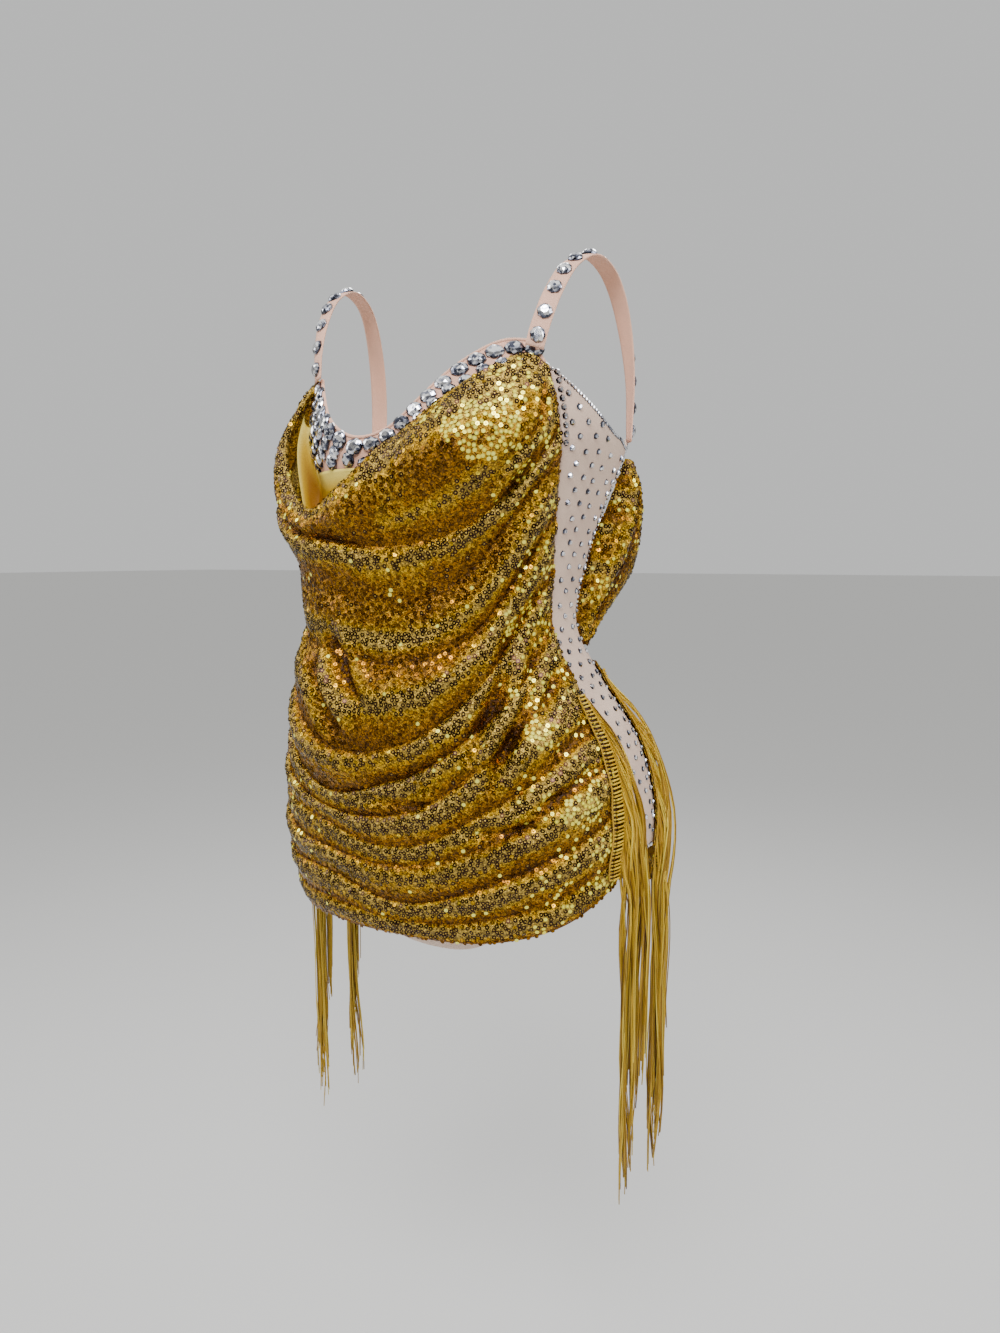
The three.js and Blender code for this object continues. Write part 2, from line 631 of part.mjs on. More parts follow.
// Fringe on one side (1 left, -1 right): a tape over two edge columns of a drape's grid, and strands that
// leave it and hang beside the edge. Each is pushed further round by the ones that start below it.
function fringe(columns, range, edgeAt, side) {
  const middleOf = (row) => row[0].clone().lerp(row[1], 0.5);
  const strip = columns.filter((row) => middleOf(row).z < range.top && middleOf(row).z > range.bottom);
  const tape = movedOut(strip, TAPE_GAP + TAPE_CLOTH);
  const middle = movedOut(strip, TAPE_GAP + TAPE_CLOTH * ROOT.depth).map(middleOf);
  const fall = range.top - range.bottom;
  const lead = side > 0 ? range.leadLeft : range.leadRight;
  const strands = steps(FRINGE.strands - 1).map((s, k) => {
    const top = mix(middle[0].z - ROOT.inset, middle[middle.length - 1].z + ROOT.inset, s);
    const out = range.out + FRINGE.layerStep * (k % FRINGE.layers);
    const beside = (z) => {
      const width = lead + (range.bundle * clamp(top - z, 0, fall)) / fall;
      const point = skin(edgeAt(z) + degrees(width / section.half(z)), z, out);
      return point.setX(point.x * side);
    };
    const start = top - ROOT.drop;
    const points = [pointAtHeight(middle, top), beside(start)];
    const levels = Math.max(1, Math.round((top - FRINGE_HANG) / ROOT.step));
    for (let i = 1; i <= levels; i += 1) points.push(beside(mix(start, FRINGE_HANG, i / levels)));
    const hang = points[points.length - 1].clone();
    hang.z = top - FRINGE.length + FRINGE.uneven * Math.sin(k * FRINGE.turn);
    points.push(hang);
    return strand(points);
  });
  return joined(wall(tape, TAPE_CLOTH), strands);
}

// The materials
const finish = (color, roughness, metalness) =>
  new THREE.MeshStandardMaterial({ color, roughness, metalness });
const SEQUIN = finish(0xb8901e, 0.32, 0.7);
const REVERSE = finish(0xc9a23a, 0.6, 0.2);
const NUDE = finish(0xcda992, 0.8, 0);
const THREAD = finish(0xc8941c, 0.45, 0.2);

const garment = new THREE.Group();
function add(name, geometry, material) {
  const mesh = new THREE.Mesh(geometry, material);
  mesh.name = name;
  garment.add(mesh);
}

const side = sidePanel();
const front = bodyFront();
add("body_front", joined(wall(front, BODY_CLOTH), neckCrystals(front)), NUDE);
add("body_back", wall(bodyBack(), BODY_CLOTH), NUDE);
add("side_panel_left", wall(side, BODY_CLOTH), NUDE);
add("side_panel_right", wall(mirrorGrid(side), BODY_CLOTH), NUDE);

add("strap_left", strap(STRAP_FOOT.left), NUDE);
add("strap_right", mirrored(strap(STRAP_FOOT.right)), NUDE);

const drape = frontDrape();
const skirt = backPiece(BACK_SKIRT, BACK_SPREAD.skirt);
add("front_drape", wall(drape, DRAPE_CLOTH), SEQUIN);
add("cowl_facing", wall(cowlFacing(), FACING_CLOTH), REVERSE);
add("back_swag", wall(backPiece(BACK_SWAGS, BACK_SPREAD.swag), DRAPE_CLOTH), SEQUIN);
add("back_skirt", wall(skirt, DRAPE_CLOTH), SEQUIN);

// The back pieces' grids run from the left edge to the right one, the front drape's from right to left
const firstTwo = (grid) => grid.map((row) => row.slice(0, 2));
const lastTwo = (grid) => grid.map((row) => row.slice(-2));
add("fringe_front_left", fringe(lastTwo(drape), FRINGE_FRONT, frontSeam, 1), THREAD);
add("fringe_front_right", fringe(firstTwo(drape), FRINGE_FRONT, frontSeam, -1), THREAD);
add("fringe_back_left", fringe(firstTwo(skirt), FRINGE_BACK, backSeam, 1), THREAD);
add("fringe_back_right", fringe(lastTwo(skirt), FRINGE_BACK, backSeam, -1), THREAD);

export default garment;
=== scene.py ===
# A sequin bodysuit for the stage, dressed over its solid model: nude panels with crystals, a sequin
# drape with a cowl neck, a back swag and skirt, and fringe down the four side edges.
# The tables are in millimetres and the meshes in metres. The wearer faces -Y, the wearer's left is +X.
import math

import bpy
import numpy as np
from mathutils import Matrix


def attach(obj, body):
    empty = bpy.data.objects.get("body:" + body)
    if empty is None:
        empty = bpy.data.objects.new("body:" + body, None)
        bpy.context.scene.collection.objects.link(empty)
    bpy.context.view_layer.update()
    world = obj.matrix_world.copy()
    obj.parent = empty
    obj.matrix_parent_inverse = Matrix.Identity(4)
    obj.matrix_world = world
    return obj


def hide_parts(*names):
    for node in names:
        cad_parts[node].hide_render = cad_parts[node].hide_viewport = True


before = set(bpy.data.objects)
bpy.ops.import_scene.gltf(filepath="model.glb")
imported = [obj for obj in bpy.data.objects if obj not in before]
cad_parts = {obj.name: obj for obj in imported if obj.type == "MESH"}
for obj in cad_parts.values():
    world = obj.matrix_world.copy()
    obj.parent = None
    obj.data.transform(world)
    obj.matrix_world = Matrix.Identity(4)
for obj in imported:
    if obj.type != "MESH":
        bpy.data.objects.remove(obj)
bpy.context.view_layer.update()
scene = bpy.context.scene
MM = 0.001


def table(names, *rows):
    """Columns of numbers by name, from one row for each section, place or fold"""
    return {name: np.array(column, float) for name, column in zip(names.split(), zip(*rows))}


def mix(a, b, share):
    return a + (b - a) * share


def smooth(share):
    s = np.clip(share, 0, 1)
    return s * s * (3 - 2 * s)


def unit(vectors):
    return vectors / np.linalg.norm(vectors, axis=-1, keepdims=True)


def curve(keys, values):
    """A smooth curve through values at keys, as a function of a number or an array"""
    order = np.argsort(keys)
    keys, values = np.asarray(keys, float)[order], np.asarray(values, float)[order]
    last = len(keys) - 1
    low = np.maximum(np.arange(last + 1) - 1, 0)
    high = np.minimum(np.arange(last + 1) + 1, last)
    slope = (values[high] - values[low]) / (keys[high] - keys[low])

    def read(at):
        v = np.clip(np.asarray(at, float), keys[0], keys[-1])
        i = np.clip(np.searchsorted(keys, v, side="left") - 1, 0, last - 1)
        step = keys[i + 1] - keys[i]
        t = (v - keys[i]) / step
        bend = step * t * (1 - t) * (slope[i] * (1 - t) - slope[i + 1] * t)
        return mix(values[i], values[i + 1], smooth(t)) + bend

    return read


def hump(distance, width):
    """A bell curve that is 1 at no distance and 0.37 one width away"""
    return np.exp(-((distance / width) ** 2))


def lengths(points):
    """How far each point lies along a line of points, or down its column of a grid"""
    steps = np.cumsum(np.linalg.norm(np.diff(points, axis=0), axis=-1), axis=0)
    return np.concatenate([np.zeros_like(steps[:1]), steps])


def along_line(line, places, at):
    """Points between those of a line, whose own places along it are given"""
    return np.stack([np.interp(at, places, line[:, k]) for k in range(line.shape[1])], axis=-1)


def rings(first, second, sides):
    """A circle of radius 1 for every pair of directions"""
    turn = 2 * np.pi * np.arange(sides)[:, None] / sides
    return first[:, None] * np.cos(turn) + second[:, None] * np.sin(turn)


class Noise:
    """Smooth noise from -1 to 1 over a plane, from a square of random values that repeats"""

    def __init__(self, seed, size=101):
        self.values = np.random.default_rng(seed).uniform(-1, 1, (size, size))
        self.size = size

    def corner(self, i, j):
        return self.values[i % self.size, j % self.size]

    def __call__(self, x, y):
        x, y = np.broadcast_arrays(np.asarray(x, float), np.asarray(y, float))
        i, j = np.floor(x).astype(int), np.floor(y).astype(int)
        s, t = smooth(x - i), smooth(y - j)
        near = mix(self.corner(i, j), self.corner(i + 1, j), s)
        return mix(near, mix(self.corner(i, j + 1), self.corner(i + 1, j + 1), s), t)


def ripple(noise_of, spec, down, across):
    """Noise of some size, with its pace and its start down a surface and its pace and start across"""
    size, pace, start, pace_across, start_across = spec
    return size * noise_of(down * pace + start, across * pace_across + start_across)


def fade(value, start, over):
    """0 up to a start, and from there smoothly up to 1"""
    return smooth((value - start) / over)


# The camera, at the photograph's viewing angle
CAMERA = {"distance": 1.0, "azimuth": 30, "height": -0.277, "pitch": 6.5, "turn": 1.78}
LENS = 26
SENSOR = 36


def make_camera():
    data = bpy.data.cameras.new("camera")
    data.lens = LENS
    data.sensor_width = SENSOR
    camera = bpy.data.objects.new("camera", data)
    azimuth = math.radians(CAMERA["azimuth"])
    reach = CAMERA["distance"]
    camera.location = (reach * math.sin(azimuth), -reach * math.cos(azimuth), CAMERA["height"])
    tilt = math.radians(90 - CAMERA["pitch"])
    camera.rotation_euler = (tilt, 0, azimuth - math.radians(CAMERA["turn"]))
    scene.collection.objects.link(camera)
    scene.camera = camera


make_camera()

# The general figure inside the garment, as the solids have it
NEAR_SKIN = 4
SECTIONS = table(
    "z half front back side square",
    (-60, 152, 88, 86, 4, 0.74),
    (-110, 158, 106, 96, 4, 0.74),
    (-165, 158, 116, 100, 6, 0.76),
    (-220, 139, 112, 92, 4, 0.82),
    (-280, 122, 102, 80, -1, 0.86),
    (-343, 115, 94, 72, -6, 0.88),
    (-400, 136, 104, 96, 8, 0.88),
    (-460, 168, 116, 128, 24, 0.88),
    (-525, 183, 124, 148, 30, 0.86),
    (-580, 184, 124, 148, 30, 0.86),
    (-660, 178, 118, 140, 26, 0.86),
)
CUP = {"x": 62, "z": -178, "depth": 24, "wide": 40, "tall": 46}
SEAMS = table(
    "z front back",
    (-95, 45, 120),
    (-165, 55, 117),
    (-220, 62, 108),
    (-280, 68, 104),
    (-343, 72, 103),
    (-400, 74, 104),
    (-460, 74, 103),
    (-525, 73, 100),
    (-568, 71, 95),
    (-620, 70, 92),
)
section = {name: curve(SECTIONS["z"], SECTIONS[name]) for name in SECTIONS}
front_seam = curve(SEAMS["z"], SEAMS["front"])
back_seam = curve(SEAMS["z"], SEAMS["back"])


def power(value, exponent):
    return np.sign(value) * np.abs(value) ** exponent


def figure(angle, z):
    """Points of the figure, by their angle from the front in degrees and their height"""
    sine, cosine = np.sin(np.radians(angle)), np.cos(np.radians(angle))
    square, side = section["square"](z), section["side"](z)
    x = section["half"](z) * power(sine, square)
    reach = np.where(cosine > 0, section["front"](z) + side, section["back"](z) - side)
    y = side - reach * power(cosine, square)
    tall = np.exp(-(((z - CUP["z"]) / CUP["tall"]) ** 2) / 2)
    for cup in (-CUP["x"], CUP["x"]):
        swell = CUP["depth"] * tall * np.exp(-(((x - cup) / CUP["wide"]) ** 2) / 2)
        y = np.where(cosine > 0, y - swell, y)
    return np.stack(np.broadcast_arrays(x, y, z), axis=-1).astype(float)


def skin(angle, z, out):
    """Points that stand off the figure, along its normal near it and level past NEAR_SKIN"""
    turn, rise = 1.2, 3
    around = figure(angle + turn, z) - figure(angle - turn, z)
    down = figure(angle, z - rise) - figure(angle, z + rise)
    normal = unit(np.cross(down, around))
    level = unit(normal * (1, 1, 0))
    out = np.asarray(out, float)[..., None]
    return figure(angle, z) + normal * np.minimum(out, NEAR_SKIN) + level * np.maximum(out - NEAR_SKIN, 0)


# Meshes
def normals(grid):
    """Outward normals of a grid whose rows run down and whose columns run to the wearer's left"""
    return unit(np.cross(np.gradient(grid, axis=0), np.gradient(grid, axis=1)))


def moved_out(grid, distance):
    return grid + normals(grid) * distance


def grid_faces(rows, columns, start=0):
    k = start + np.arange(rows * columns).reshape(rows, columns)
    corners = (k[:-1, :-1], k[1:, :-1], k[1:, 1:], k[:-1, 1:])
    return np.stack([c.ravel() for c in corners], axis=-1)


def shell(grid, thickness):
    """A closed cloth wall: the points of the grid, the same moved in, and faces with a rim"""
    rows, columns = grid.shape[:2]
    count = rows * columns
    points = np.concatenate([grid.reshape(-1, 3), moved_out(grid, -thickness).reshape(-1, 3)])
    outer = grid_faces(rows, columns)
    inner = grid_faces(rows, columns, count)[:, ::-1]
    k = np.arange(count).reshape(rows, columns)
    loop = np.concatenate([k[0, :], k[1:, -1], k[-1, -2::-1], k[-2:0:-1, 0]])
    after = np.roll(loop, -1)
    rim = np.stack([loop, after, after + count, loop + count], axis=-1)
    return points, np.concatenate([outer, inner, rim])


def new_object(name, points, faces, material, slot, is_smooth=True, **attributes):
    """A piece at the origin, from points in millimetres and faces as rows of point numbers"""
    mesh = bpy.data.meshes.new(name)
    mesh.from_pydata((np.asarray(points, float) * MM).tolist(), [], [list(map(int, f)) for f in faces])
    mesh.polygons.foreach_set("use_smooth", [is_smooth] * len(mesh.polygons))
    for key, values in attributes.items():
        values = np.asarray(values, float)
        is_vector = values.ndim == 2
        layer = mesh.attributes.new(key, "FLOAT_VECTOR" if is_vector else "FLOAT", "POINT")
        layer.data.foreach_set("vector" if is_vector else "value", values.ravel())
    mesh.materials.append(material)
    piece = bpy.data.objects.new(name, mesh)
    scene.collection.objects.link(piece)
    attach(piece, "root")
    return piece


class Parts:
    """Points and faces of many small things, gathered for one mesh"""

    def __init__(self):
        self.points, self.faces, self.values, self.count = [], [], [], 0

    def add(self, points, faces, value=0.0):
        self.points.append(np.asarray(points, float))
        self.faces.extend([[int(k) + self.count for k in face] for face in faces])
        self.values.append(np.broadcast_to(np.asarray(value, float), len(points)))
        self.count += len(points)

    def build(self, name, material, slot, is_smooth=False):
        points = np.concatenate(self.points)
        tone = np.concatenate(self.values)
        return new_object(name, points, self.faces, material, slot, is_smooth, tone=tone)

    def mirrored(self):
        """The same things on the other side"""
        self.points = [mirror(points) for points in self.points]
        self.faces = [face[::-1] for face in self.faces]
        return self


def tube(line, radius, sides):
    """Points and faces of a closed cord along a line of points"""
    along = unit(np.gradient(line, axis=0))
    lean = np.where(np.abs(along[:, 1:2]) < 0.9, (0.0, 1.0, 0.05), (1.0, 0.0, 0.05))
    first = unit(np.cross(lean, along))
    ring = rings(first, np.cross(along, first), sides)
    points = (line[:, None] + ring * radius).reshape(-1, 3)
    faces = []
    for start in range(0, (len(line) - 1) * sides, sides):
        for k in range(sides):
            a, b = start + k, start + (k + 1) % sides
            faces.append([a, b, b + sides, a + sides])
    last = (len(line) - 1) * sides
    return points, [*faces, list(range(sides))[::-1], [last + k for k in range(sides)]]


# Materials
def add_node(tree, kind, inputs=None, **settings):
    made = tree.nodes.new(kind)
    for key, value in settings.items():
        setattr(made, key, value)
    for key, value in (inputs or {}).items():
        if isinstance(value, bpy.types.NodeSocket):
            tree.links.new(value, made.inputs[key])
        else:
            made.inputs[key].default_value = value
    return made


def new_material(name):
    made = bpy.data.materials.new(name)
    made.use_nodes = True
    made.node_tree.nodes.clear()
    tree = made.node_tree
    shader = add_node(tree, "ShaderNodeBsdfPrincipled")
    output = add_node(tree, "ShaderNodeOutputMaterial")
    tree.links.new(shader.outputs["BSDF"], output.inputs["Surface"])
    return made, tree, shader


def link(tree, shader, **sockets):
    for key, value in sockets.items():
        tree.links.new(value, shader.inputs[key.replace("_", " ")])


def set_values(shader, **values):
    for key, value in values.items():
        shader.inputs[key.replace("_", " ")].default_value = value


def ramp(tree, value, *stops):
    made = add_node(tree, "ShaderNodeValToRGB", {"Fac": value})
    elements = made.color_ramp.elements
    while len(elements) < len(stops):
        elements.new(1)
    for element, (position, color) in zip(elements, stops):
        element.position = position
        element.color = (*color, 1)
    return made.outputs["Color"]


def attribute(tree, name, output="Fac"):
    return add_node(tree, "ShaderNodeAttribute", attribute_name=name).outputs[output]


def place(tree):
    return add_node(tree, "ShaderNodeTexCoord").outputs["Object"]


def noise(tree, scale, detail=2):
    made = add_node(tree, "ShaderNodeTexNoise", {"Vector": place(tree), "Scale": scale, "Detail": detail})
    return made.outputs["Fac"]


def blend(tree, share, a, b, how="MIX"):
    made = add_node(tree, "ShaderNodeMix", data_type="RGBA", blend_type=how)
    for socket, value in ((made.inputs[0], share), (made.inputs[6], a), (made.inputs[7], b)):
        if isinstance(value, bpy.types.NodeSocket):
            tree.links.new(value, socket)
        else:
            socket.default_value = value
    return made.outputs[2]


def reckon(tree, how, *values):
    return add_node(tree, "ShaderNodeMath", dict(enumerate(values)), operation=how).outputs[0]


def tinted(tree, color, shade, share=1.0):
    return blend(tree, share, color, shade, "MULTIPLY")


def bump(tree, height, distance):
    inputs = {"Height": height, "Distance": distance, "Strength": 1.0}
    return add_node(tree, "ShaderNodeBump", inputs).outputs["Normal"]


def cells(tree, scale):
    """A pattern of small cells: a random value for each, and the distance from its middle"""
    made = add_node(tree, "ShaderNodeTexVoronoi", {"Vector": place(tree), "Scale": scale})
    value = add_node(tree, "ShaderNodeSeparateColor", {0: made.outputs["Color"]}).outputs[0]
    return value, made.outputs["Distance"]


WHITE = (1, 1, 1)
BLACK = (0, 0, 0)
# The darkest plum paints sequins dark as reflections of the dim room, brown paints shade in the pockets,
# and the pale and glint golds paint highlights
PAINTED_DARK_REFLECTION = (0.024, 0.009, 0.010)
BROWN = (0.055, 0.018, 0.001)
AMBER = (0.240, 0.105, 0.001)
GOLD = (0.440, 0.265, 0.008)
OLIVE = (0.300, 0.200, 0.035)
STRAW = (0.440, 0.300, 0.060)
PAINTED_HIGHLIGHT = (1.000, 0.840, 0.050)
PAINTED_GLINT = (1.000, 0.930, 0.140)
PEACH = (0.880, 0.500, 0.350)
RIM_SHADE = (0.50, 0.42, 0.35)
GRAIN = ((0.0, (0.22, 0.16, 0.10)), (0.5, (0.80, 0.78, 0.72)), (1.0, (2.1, 2.0, 1.6)))
NET_TONES = ((0.0, BROWN), (0.25, AMBER), (0.55, GOLD), (0.72, OLIVE), (0.95, STRAW))
SEQUIN_TONES = ((0.0, PAINTED_DARK_REFLECTION), (0.2, BROWN), (0.42, AMBER), (0.66, GOLD), (0.9, PAINTED_HIGHLIGHT), (1.0, PAINTED_GLINT))
REVERSE_TONES = ((0.0, (0.30, 0.13, 0.002)), (0.4, (0.66, 0.42, 0.02)), (0.8, (0.98, 0.82, 0.20)))
REVERSE_GRAIN = ((0.3, (0.45, 0.3, 0.05)), (0.7, (1, 0.85, 0.4)))
KNIT = ((0.0, (0.86, 0.84, 0.83)), (0.6, WHITE))
# Painted reflections on the stones, from dark facets to white glints
GLASS_TONES = (
    (0.0, (0.010, 0.010, 0.020)),
    (0.34, (0.07, 0.08, 0.13)),
    (0.54, (0.52, 0.54, 0.63)),
    (0.7, WHITE),
)
THREAD_TONES = (
    (0.0, (0.07, 0.022, 0.001)),
    (0.4, (0.48, 0.27, 0.008)),
    (0.7, (0.84, 0.56, 0.03)),
    (1.0, (1.0, 0.82, 0.12)),
)
# Painted shade and highlight along the twist of the cord
TWIST_SHADE_AND_HIGHLIGHT = ((0.0, (0.7, 0.62, 0.5)), (1.0, (1.2, 1.2, 1.15)))

# How fine each pattern is, in repeats to a metre
SCALES = {"net": 760, "patch": 14, "reverse": 900, "knit": 950, "dye": 22, "facet": 380, "twist": 420}
PATCHY = 0.3
HOLE = 0.36
SEQUIN_ROUGH = {"face": 0.2, "hole": 0.35}
GLASS_SHARES = {"facet": 0.7, "stone": 0.3}


def grain(tree):
    """The fine grain of the net: a shade for each cell, and the distance from the cell's middle"""
    value, depth = cells(tree, SCALES["net"])
    return ramp(tree, value, *GRAIN), depth


def net_material():
    """Gold net under the sequins: amber in the valleys and brown in the pockets as painted shade, straw
    gold on the crests, with a fine grain
    """
    made, tree, shader = new_material("sequin_net")
    patchy = reckon(tree, "MULTIPLY_ADD", noise(tree, SCALES["patch"]), PATCHY, -PATCHY / 2)
    level = reckon(tree, "ADD", attribute(tree, "fold"), patchy)
    shade, depth = grain(tree)
    color = tinted(tree, ramp(tree, level, *NET_TONES), shade)
    link(tree, shader, Base_Color=color, Normal=bump(tree, depth, 0.0006))
    set_values(shader, Metallic=0.35, Roughness=0.42, Specular_IOR_Level=0.25)
    return made


def sequin_material():
    """Flat ring sequins: metallic discs whose tone, set one by one, carries painted dark reflections,
    painted shade and painted highlights, with thread in the hole
    """
    made, tree, shader = new_material("sequin")
    tone = attribute(tree, "tone")
    inputs = {0: attribute(tree, "disc", "Vector")}
    radius = add_node(tree, "ShaderNodeVectorMath", inputs, operation="LENGTH").outputs["Value"]
    hole = reckon(tree, "LESS_THAN", radius, HOLE)
    rim = ramp(tree, radius, (0.0, WHITE), (0.78, WHITE), (1.0, RIM_SHADE))
    face = tinted(tree, ramp(tree, tone, *SEQUIN_TONES), rim)
    shade, _ = grain(tree)
    middling = ramp(tree, tone, (0.12, BLACK), (0.2, WHITE), (0.75, WHITE), (0.86, BLACK))
    face = blend(tree, middling, face, tinted(tree, face, shade))
    is_dark = ramp(tree, tone, (0.1, WHITE), (0.16, BLACK))
    inside = blend(tree, is_dark, face, (*STRAW, 1))
    # Sequins painted bright as highlights are made less metallic, so they stay bright yellow
    metallic = ramp(tree, tone, (0.8, (0.9, 0.9, 0.9)), (0.9, (0.5, 0.5, 0.5)))
    rough = reckon(tree, "MULTIPLY_ADD", hole, SEQUIN_ROUGH["hole"], SEQUIN_ROUGH["face"])
    link(tree, shader, Base_Color=blend(tree, hole, face, inside), Metallic=metallic, Roughness=rough)
    return made


def reverse_material():
    """The net's smooth reverse, with painted shade: darker where the facing sags into the hollow, paler at
    its top and edge
    """
    made, tree, shader = new_material("reverse_net")
    base = ramp(tree, attribute(tree, "fold"), *REVERSE_TONES)
    fine = noise(tree, SCALES["reverse"], 3)
    color = tinted(tree, base, ramp(tree, fine, *REVERSE_GRAIN), 0.35)
    link(tree, shader, Base_Color=color, Normal=bump(tree, fine, 0.0004))
    set_values(shader, Roughness=0.5, Specular_IOR_Level=0.12)
    return made


def nude_material(name, color, shade):
    """Power mesh with a fine knit and a soft nap, over a peach lining where its fold value says so"""
    made, tree, shader = new_material(name)
    _, depth = cells(tree, SCALES["knit"])
    tint = ramp(tree, noise(tree, SCALES["dye"]), (0.3, shade), (0.7, color))
    lined = blend(tree, attribute(tree, "fold"), tint, (*PEACH, 1))
    color = tinted(tree, lined, ramp(tree, depth, *KNIT))
    link(tree, shader, Base_Color=color, Normal=bump(tree, depth, 0.0003))
    set_values(shader, Roughness=0.7, Sheen_Weight=0.12, Sheen_Roughness=0.4)
    return made


def crystal_material():
    """Foiled glass with painted reflections: every small cell is given its own grey, from near black to
    white glints, shifted by the stone's painted tone
    """
    made, tree, shader = new_material("crystal")
    glint, _ = cells(tree, SCALES["facet"])
    own = reckon(tree, "MULTIPLY", attribute(tree, "tone"), GLASS_SHARES["stone"])
    level = reckon(tree, "MULTIPLY_ADD", glint, GLASS_SHARES["facet"], own)
    link(tree, shader, Base_Color=ramp(tree, level, *GLASS_TONES))
    set_values(shader, Metallic=0.85, Roughness=0.07, Coat_Weight=0.8, Coat_Roughness=0.03)
    return made


def thread_material():
    """Rayon chainette: a bright twisted cord with painted shade and highlight along the twist, each strand
    a little lighter or darker
    """
    made, tree, shader = new_material("chainette")
    inputs = {"Vector": place(tree), "Scale": SCALES["twist"], "Distortion": 1.5}
    twist = add_node(tree, "ShaderNodeTexWave", inputs, bands_direction="DIAGONAL").outputs["Fac"]
    tones = ramp(tree, attribute(tree, "tone"), *THREAD_TONES)
    color = tinted(tree, tones, ramp(tree, twist, *TWIST_SHADE_AND_HIGHLIGHT))
    link(tree, shader, Base_Color=color, Normal=bump(tree, twist, 0.0003))
    set_values(shader, Roughness=0.4, Metallic=0.12)
    return made


NET = net_material()
SEQUIN = sequin_material()
REVERSE = reverse_material()
NUDE = nude_material("nude_mesh", (0.73, 0.54, 0.42), (0.64, 0.46, 0.36))
BINDING = nude_material("nude_binding", PEACH, (0.78, 0.46, 0.33))
CRYSTAL = crystal_material()
THREAD = thread_material()
NUDE_MESH = {"thickness": 1.1, "material": NUDE, "slot": "nude_mesh"}
STRAP_TAPE = {"thickness": 1.3, "material": BINDING, "slot": "nude_mesh"}
SEQUIN_NET = {"thickness": 0.9, "material": NET, "slot": "sequin_mesh"}
NET_REVERSE = {"thickness": 0.8, "material": REVERSE, "slot": "mesh_reverse"}

# The nude body
BODY_CLOTH = 1.5
SEAM_GAP_DEG = 0.24
NECKLINE = table(
    "x z",
    (-122, -96),
    (-104, -122),
    (-76, -150),
    (-42, -168),
    (-8, -160),
    (22, -135),
    (54, -107),
    (88, -88),
    (122, -90),
)
ARMHOLE = table("across z", (0, -110), (0.3, -142), (0.55, -162), (0.8, -170), (1, -160))
SEAM_TOP = -110
SEAM_BLEND = 0.1
LEG_TOP = -568
BACK_WAIST = -374
BRIEF_SQUARE = 0.86
FRONT_BRIEF = table(
    "edge_x edge_y edge_z mid_y mid_z",
    (150, -46, -584, -122, -598),
    (110, -70, -606, -112, -632),
    (70, -58, -636, -84, -662),
    (42, -26, -664, -40, -680),
    (34, 8, -676, 8, -684),
)
BACK_BRIEF = table(
    "edge_x edge_y edge_z mid_y mid_z",
    (158, 74, -590, 148, -604),
    (118, 92, -616, 132, -644),
    (72, 74, -646, 100, -672),
    (42, 40, -668, 54, -682),
    (34, 8.8, -676, 8.8, -684),
)
BRIEF_ROWS = 24
PANEL_ROWS = 90
PANEL_COLUMNS = 80
SIDE_COLUMNS = 26
LINING = {"below": 84, "fade": 12}
neckline = curve(NECKLINE["x"], NECKLINE["z"])
armhole = curve(ARMHOLE["across"], ARMHOLE["z"])


def neck_height(across):
    """The height of the body's top edge at a share of the way across the front"""
    guess, rounds = -130, 6
    z = np.full_like(np.asarray(across, float), guess)
    for _ in range(rounds):
        z = neckline(figure(across * front_seam(z), z)[..., 0])
    return mix(z, SEAM_TOP, smooth((np.abs(across) - 1 + SEAM_BLEND) / SEAM_BLEND))


def brief_rows(rows, is_back):
    """The brief from the leg openings to the gusset, as a finer grid through its rows"""
    place_of = np.linspace(0, 1, len(rows["edge_x"]))
    at = np.linspace(0, 1, BRIEF_ROWS)[1:]
    fine = {name: curve(place_of, rows[name])(at)[:, None] for name in rows}
    turn = np.radians(np.linspace(-90, 90, PANEL_COLUMNS))[None, :]
    lift = power(np.cos(turn), BRIEF_SQUARE)
    x = fine["edge_x"] * power(np.sin(turn), BRIEF_SQUARE) * (-1 if is_back else 1)
    y = mix(fine["edge_y"], fine["mid_y"], lift)
    z = mix(fine["edge_z"], fine["mid_z"], lift)
    return np.stack([x, y, z], axis=-1)


def shares_down(rows):
    return np.linspace(0, 1, rows)[:, None]


def body_front():
    across = np.linspace(-1, 1, PANEL_COLUMNS)
    z = mix(neck_height(across), LEG_TOP, shares_down(PANEL_ROWS))
    upper = skin(across * (front_seam(z) - SEAM_GAP_DEG), z, BODY_CLOTH)
    return np.concatenate([upper, brief_rows(FRONT_BRIEF, False)])


def body_back():
    z = mix(BACK_WAIST, LEG_TOP, shares_down(PANEL_ROWS // 2))
    edge = back_seam(z) + SEAM_GAP_DEG
    upper = skin(mix(edge, 360 - edge, np.linspace(0, 1, PANEL_COLUMNS)), z, BODY_CLOTH)
    return np.concatenate([upper, brief_rows(BACK_BRIEF, True)])


def side_point(share, z):
    """A point of the left side panel, from its front seam (0) to its back edge (1)"""
    start = front_seam(z) + SEAM_GAP_DEG
    return skin(mix(start, back_seam(z) - SEAM_GAP_DEG, share), z, BODY_CLOTH)


def side_panel():
    share = np.linspace(0, 1, SIDE_COLUMNS)
    return side_point(share, mix(armhole(share), LEG_TOP, shares_down(PANEL_ROWS)))


def mirror(points):
    return points * (-1, 1, 1)


def mirror_grid(grid):
    return mirror(grid[:, ::-1])


def cloth(name, node, grid, fabric, fold=None):
    """A cloth shell that stands for a node of the model"""
    points, faces = shell(grid, fabric["thickness"])
    fold = np.zeros(len(points)) if fold is None else np.tile(fold.ravel(), 2)
    piece = new_object(name, points, faces, fabric["material"], fabric["slot"], fold=fold)
    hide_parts(node)
    return piece


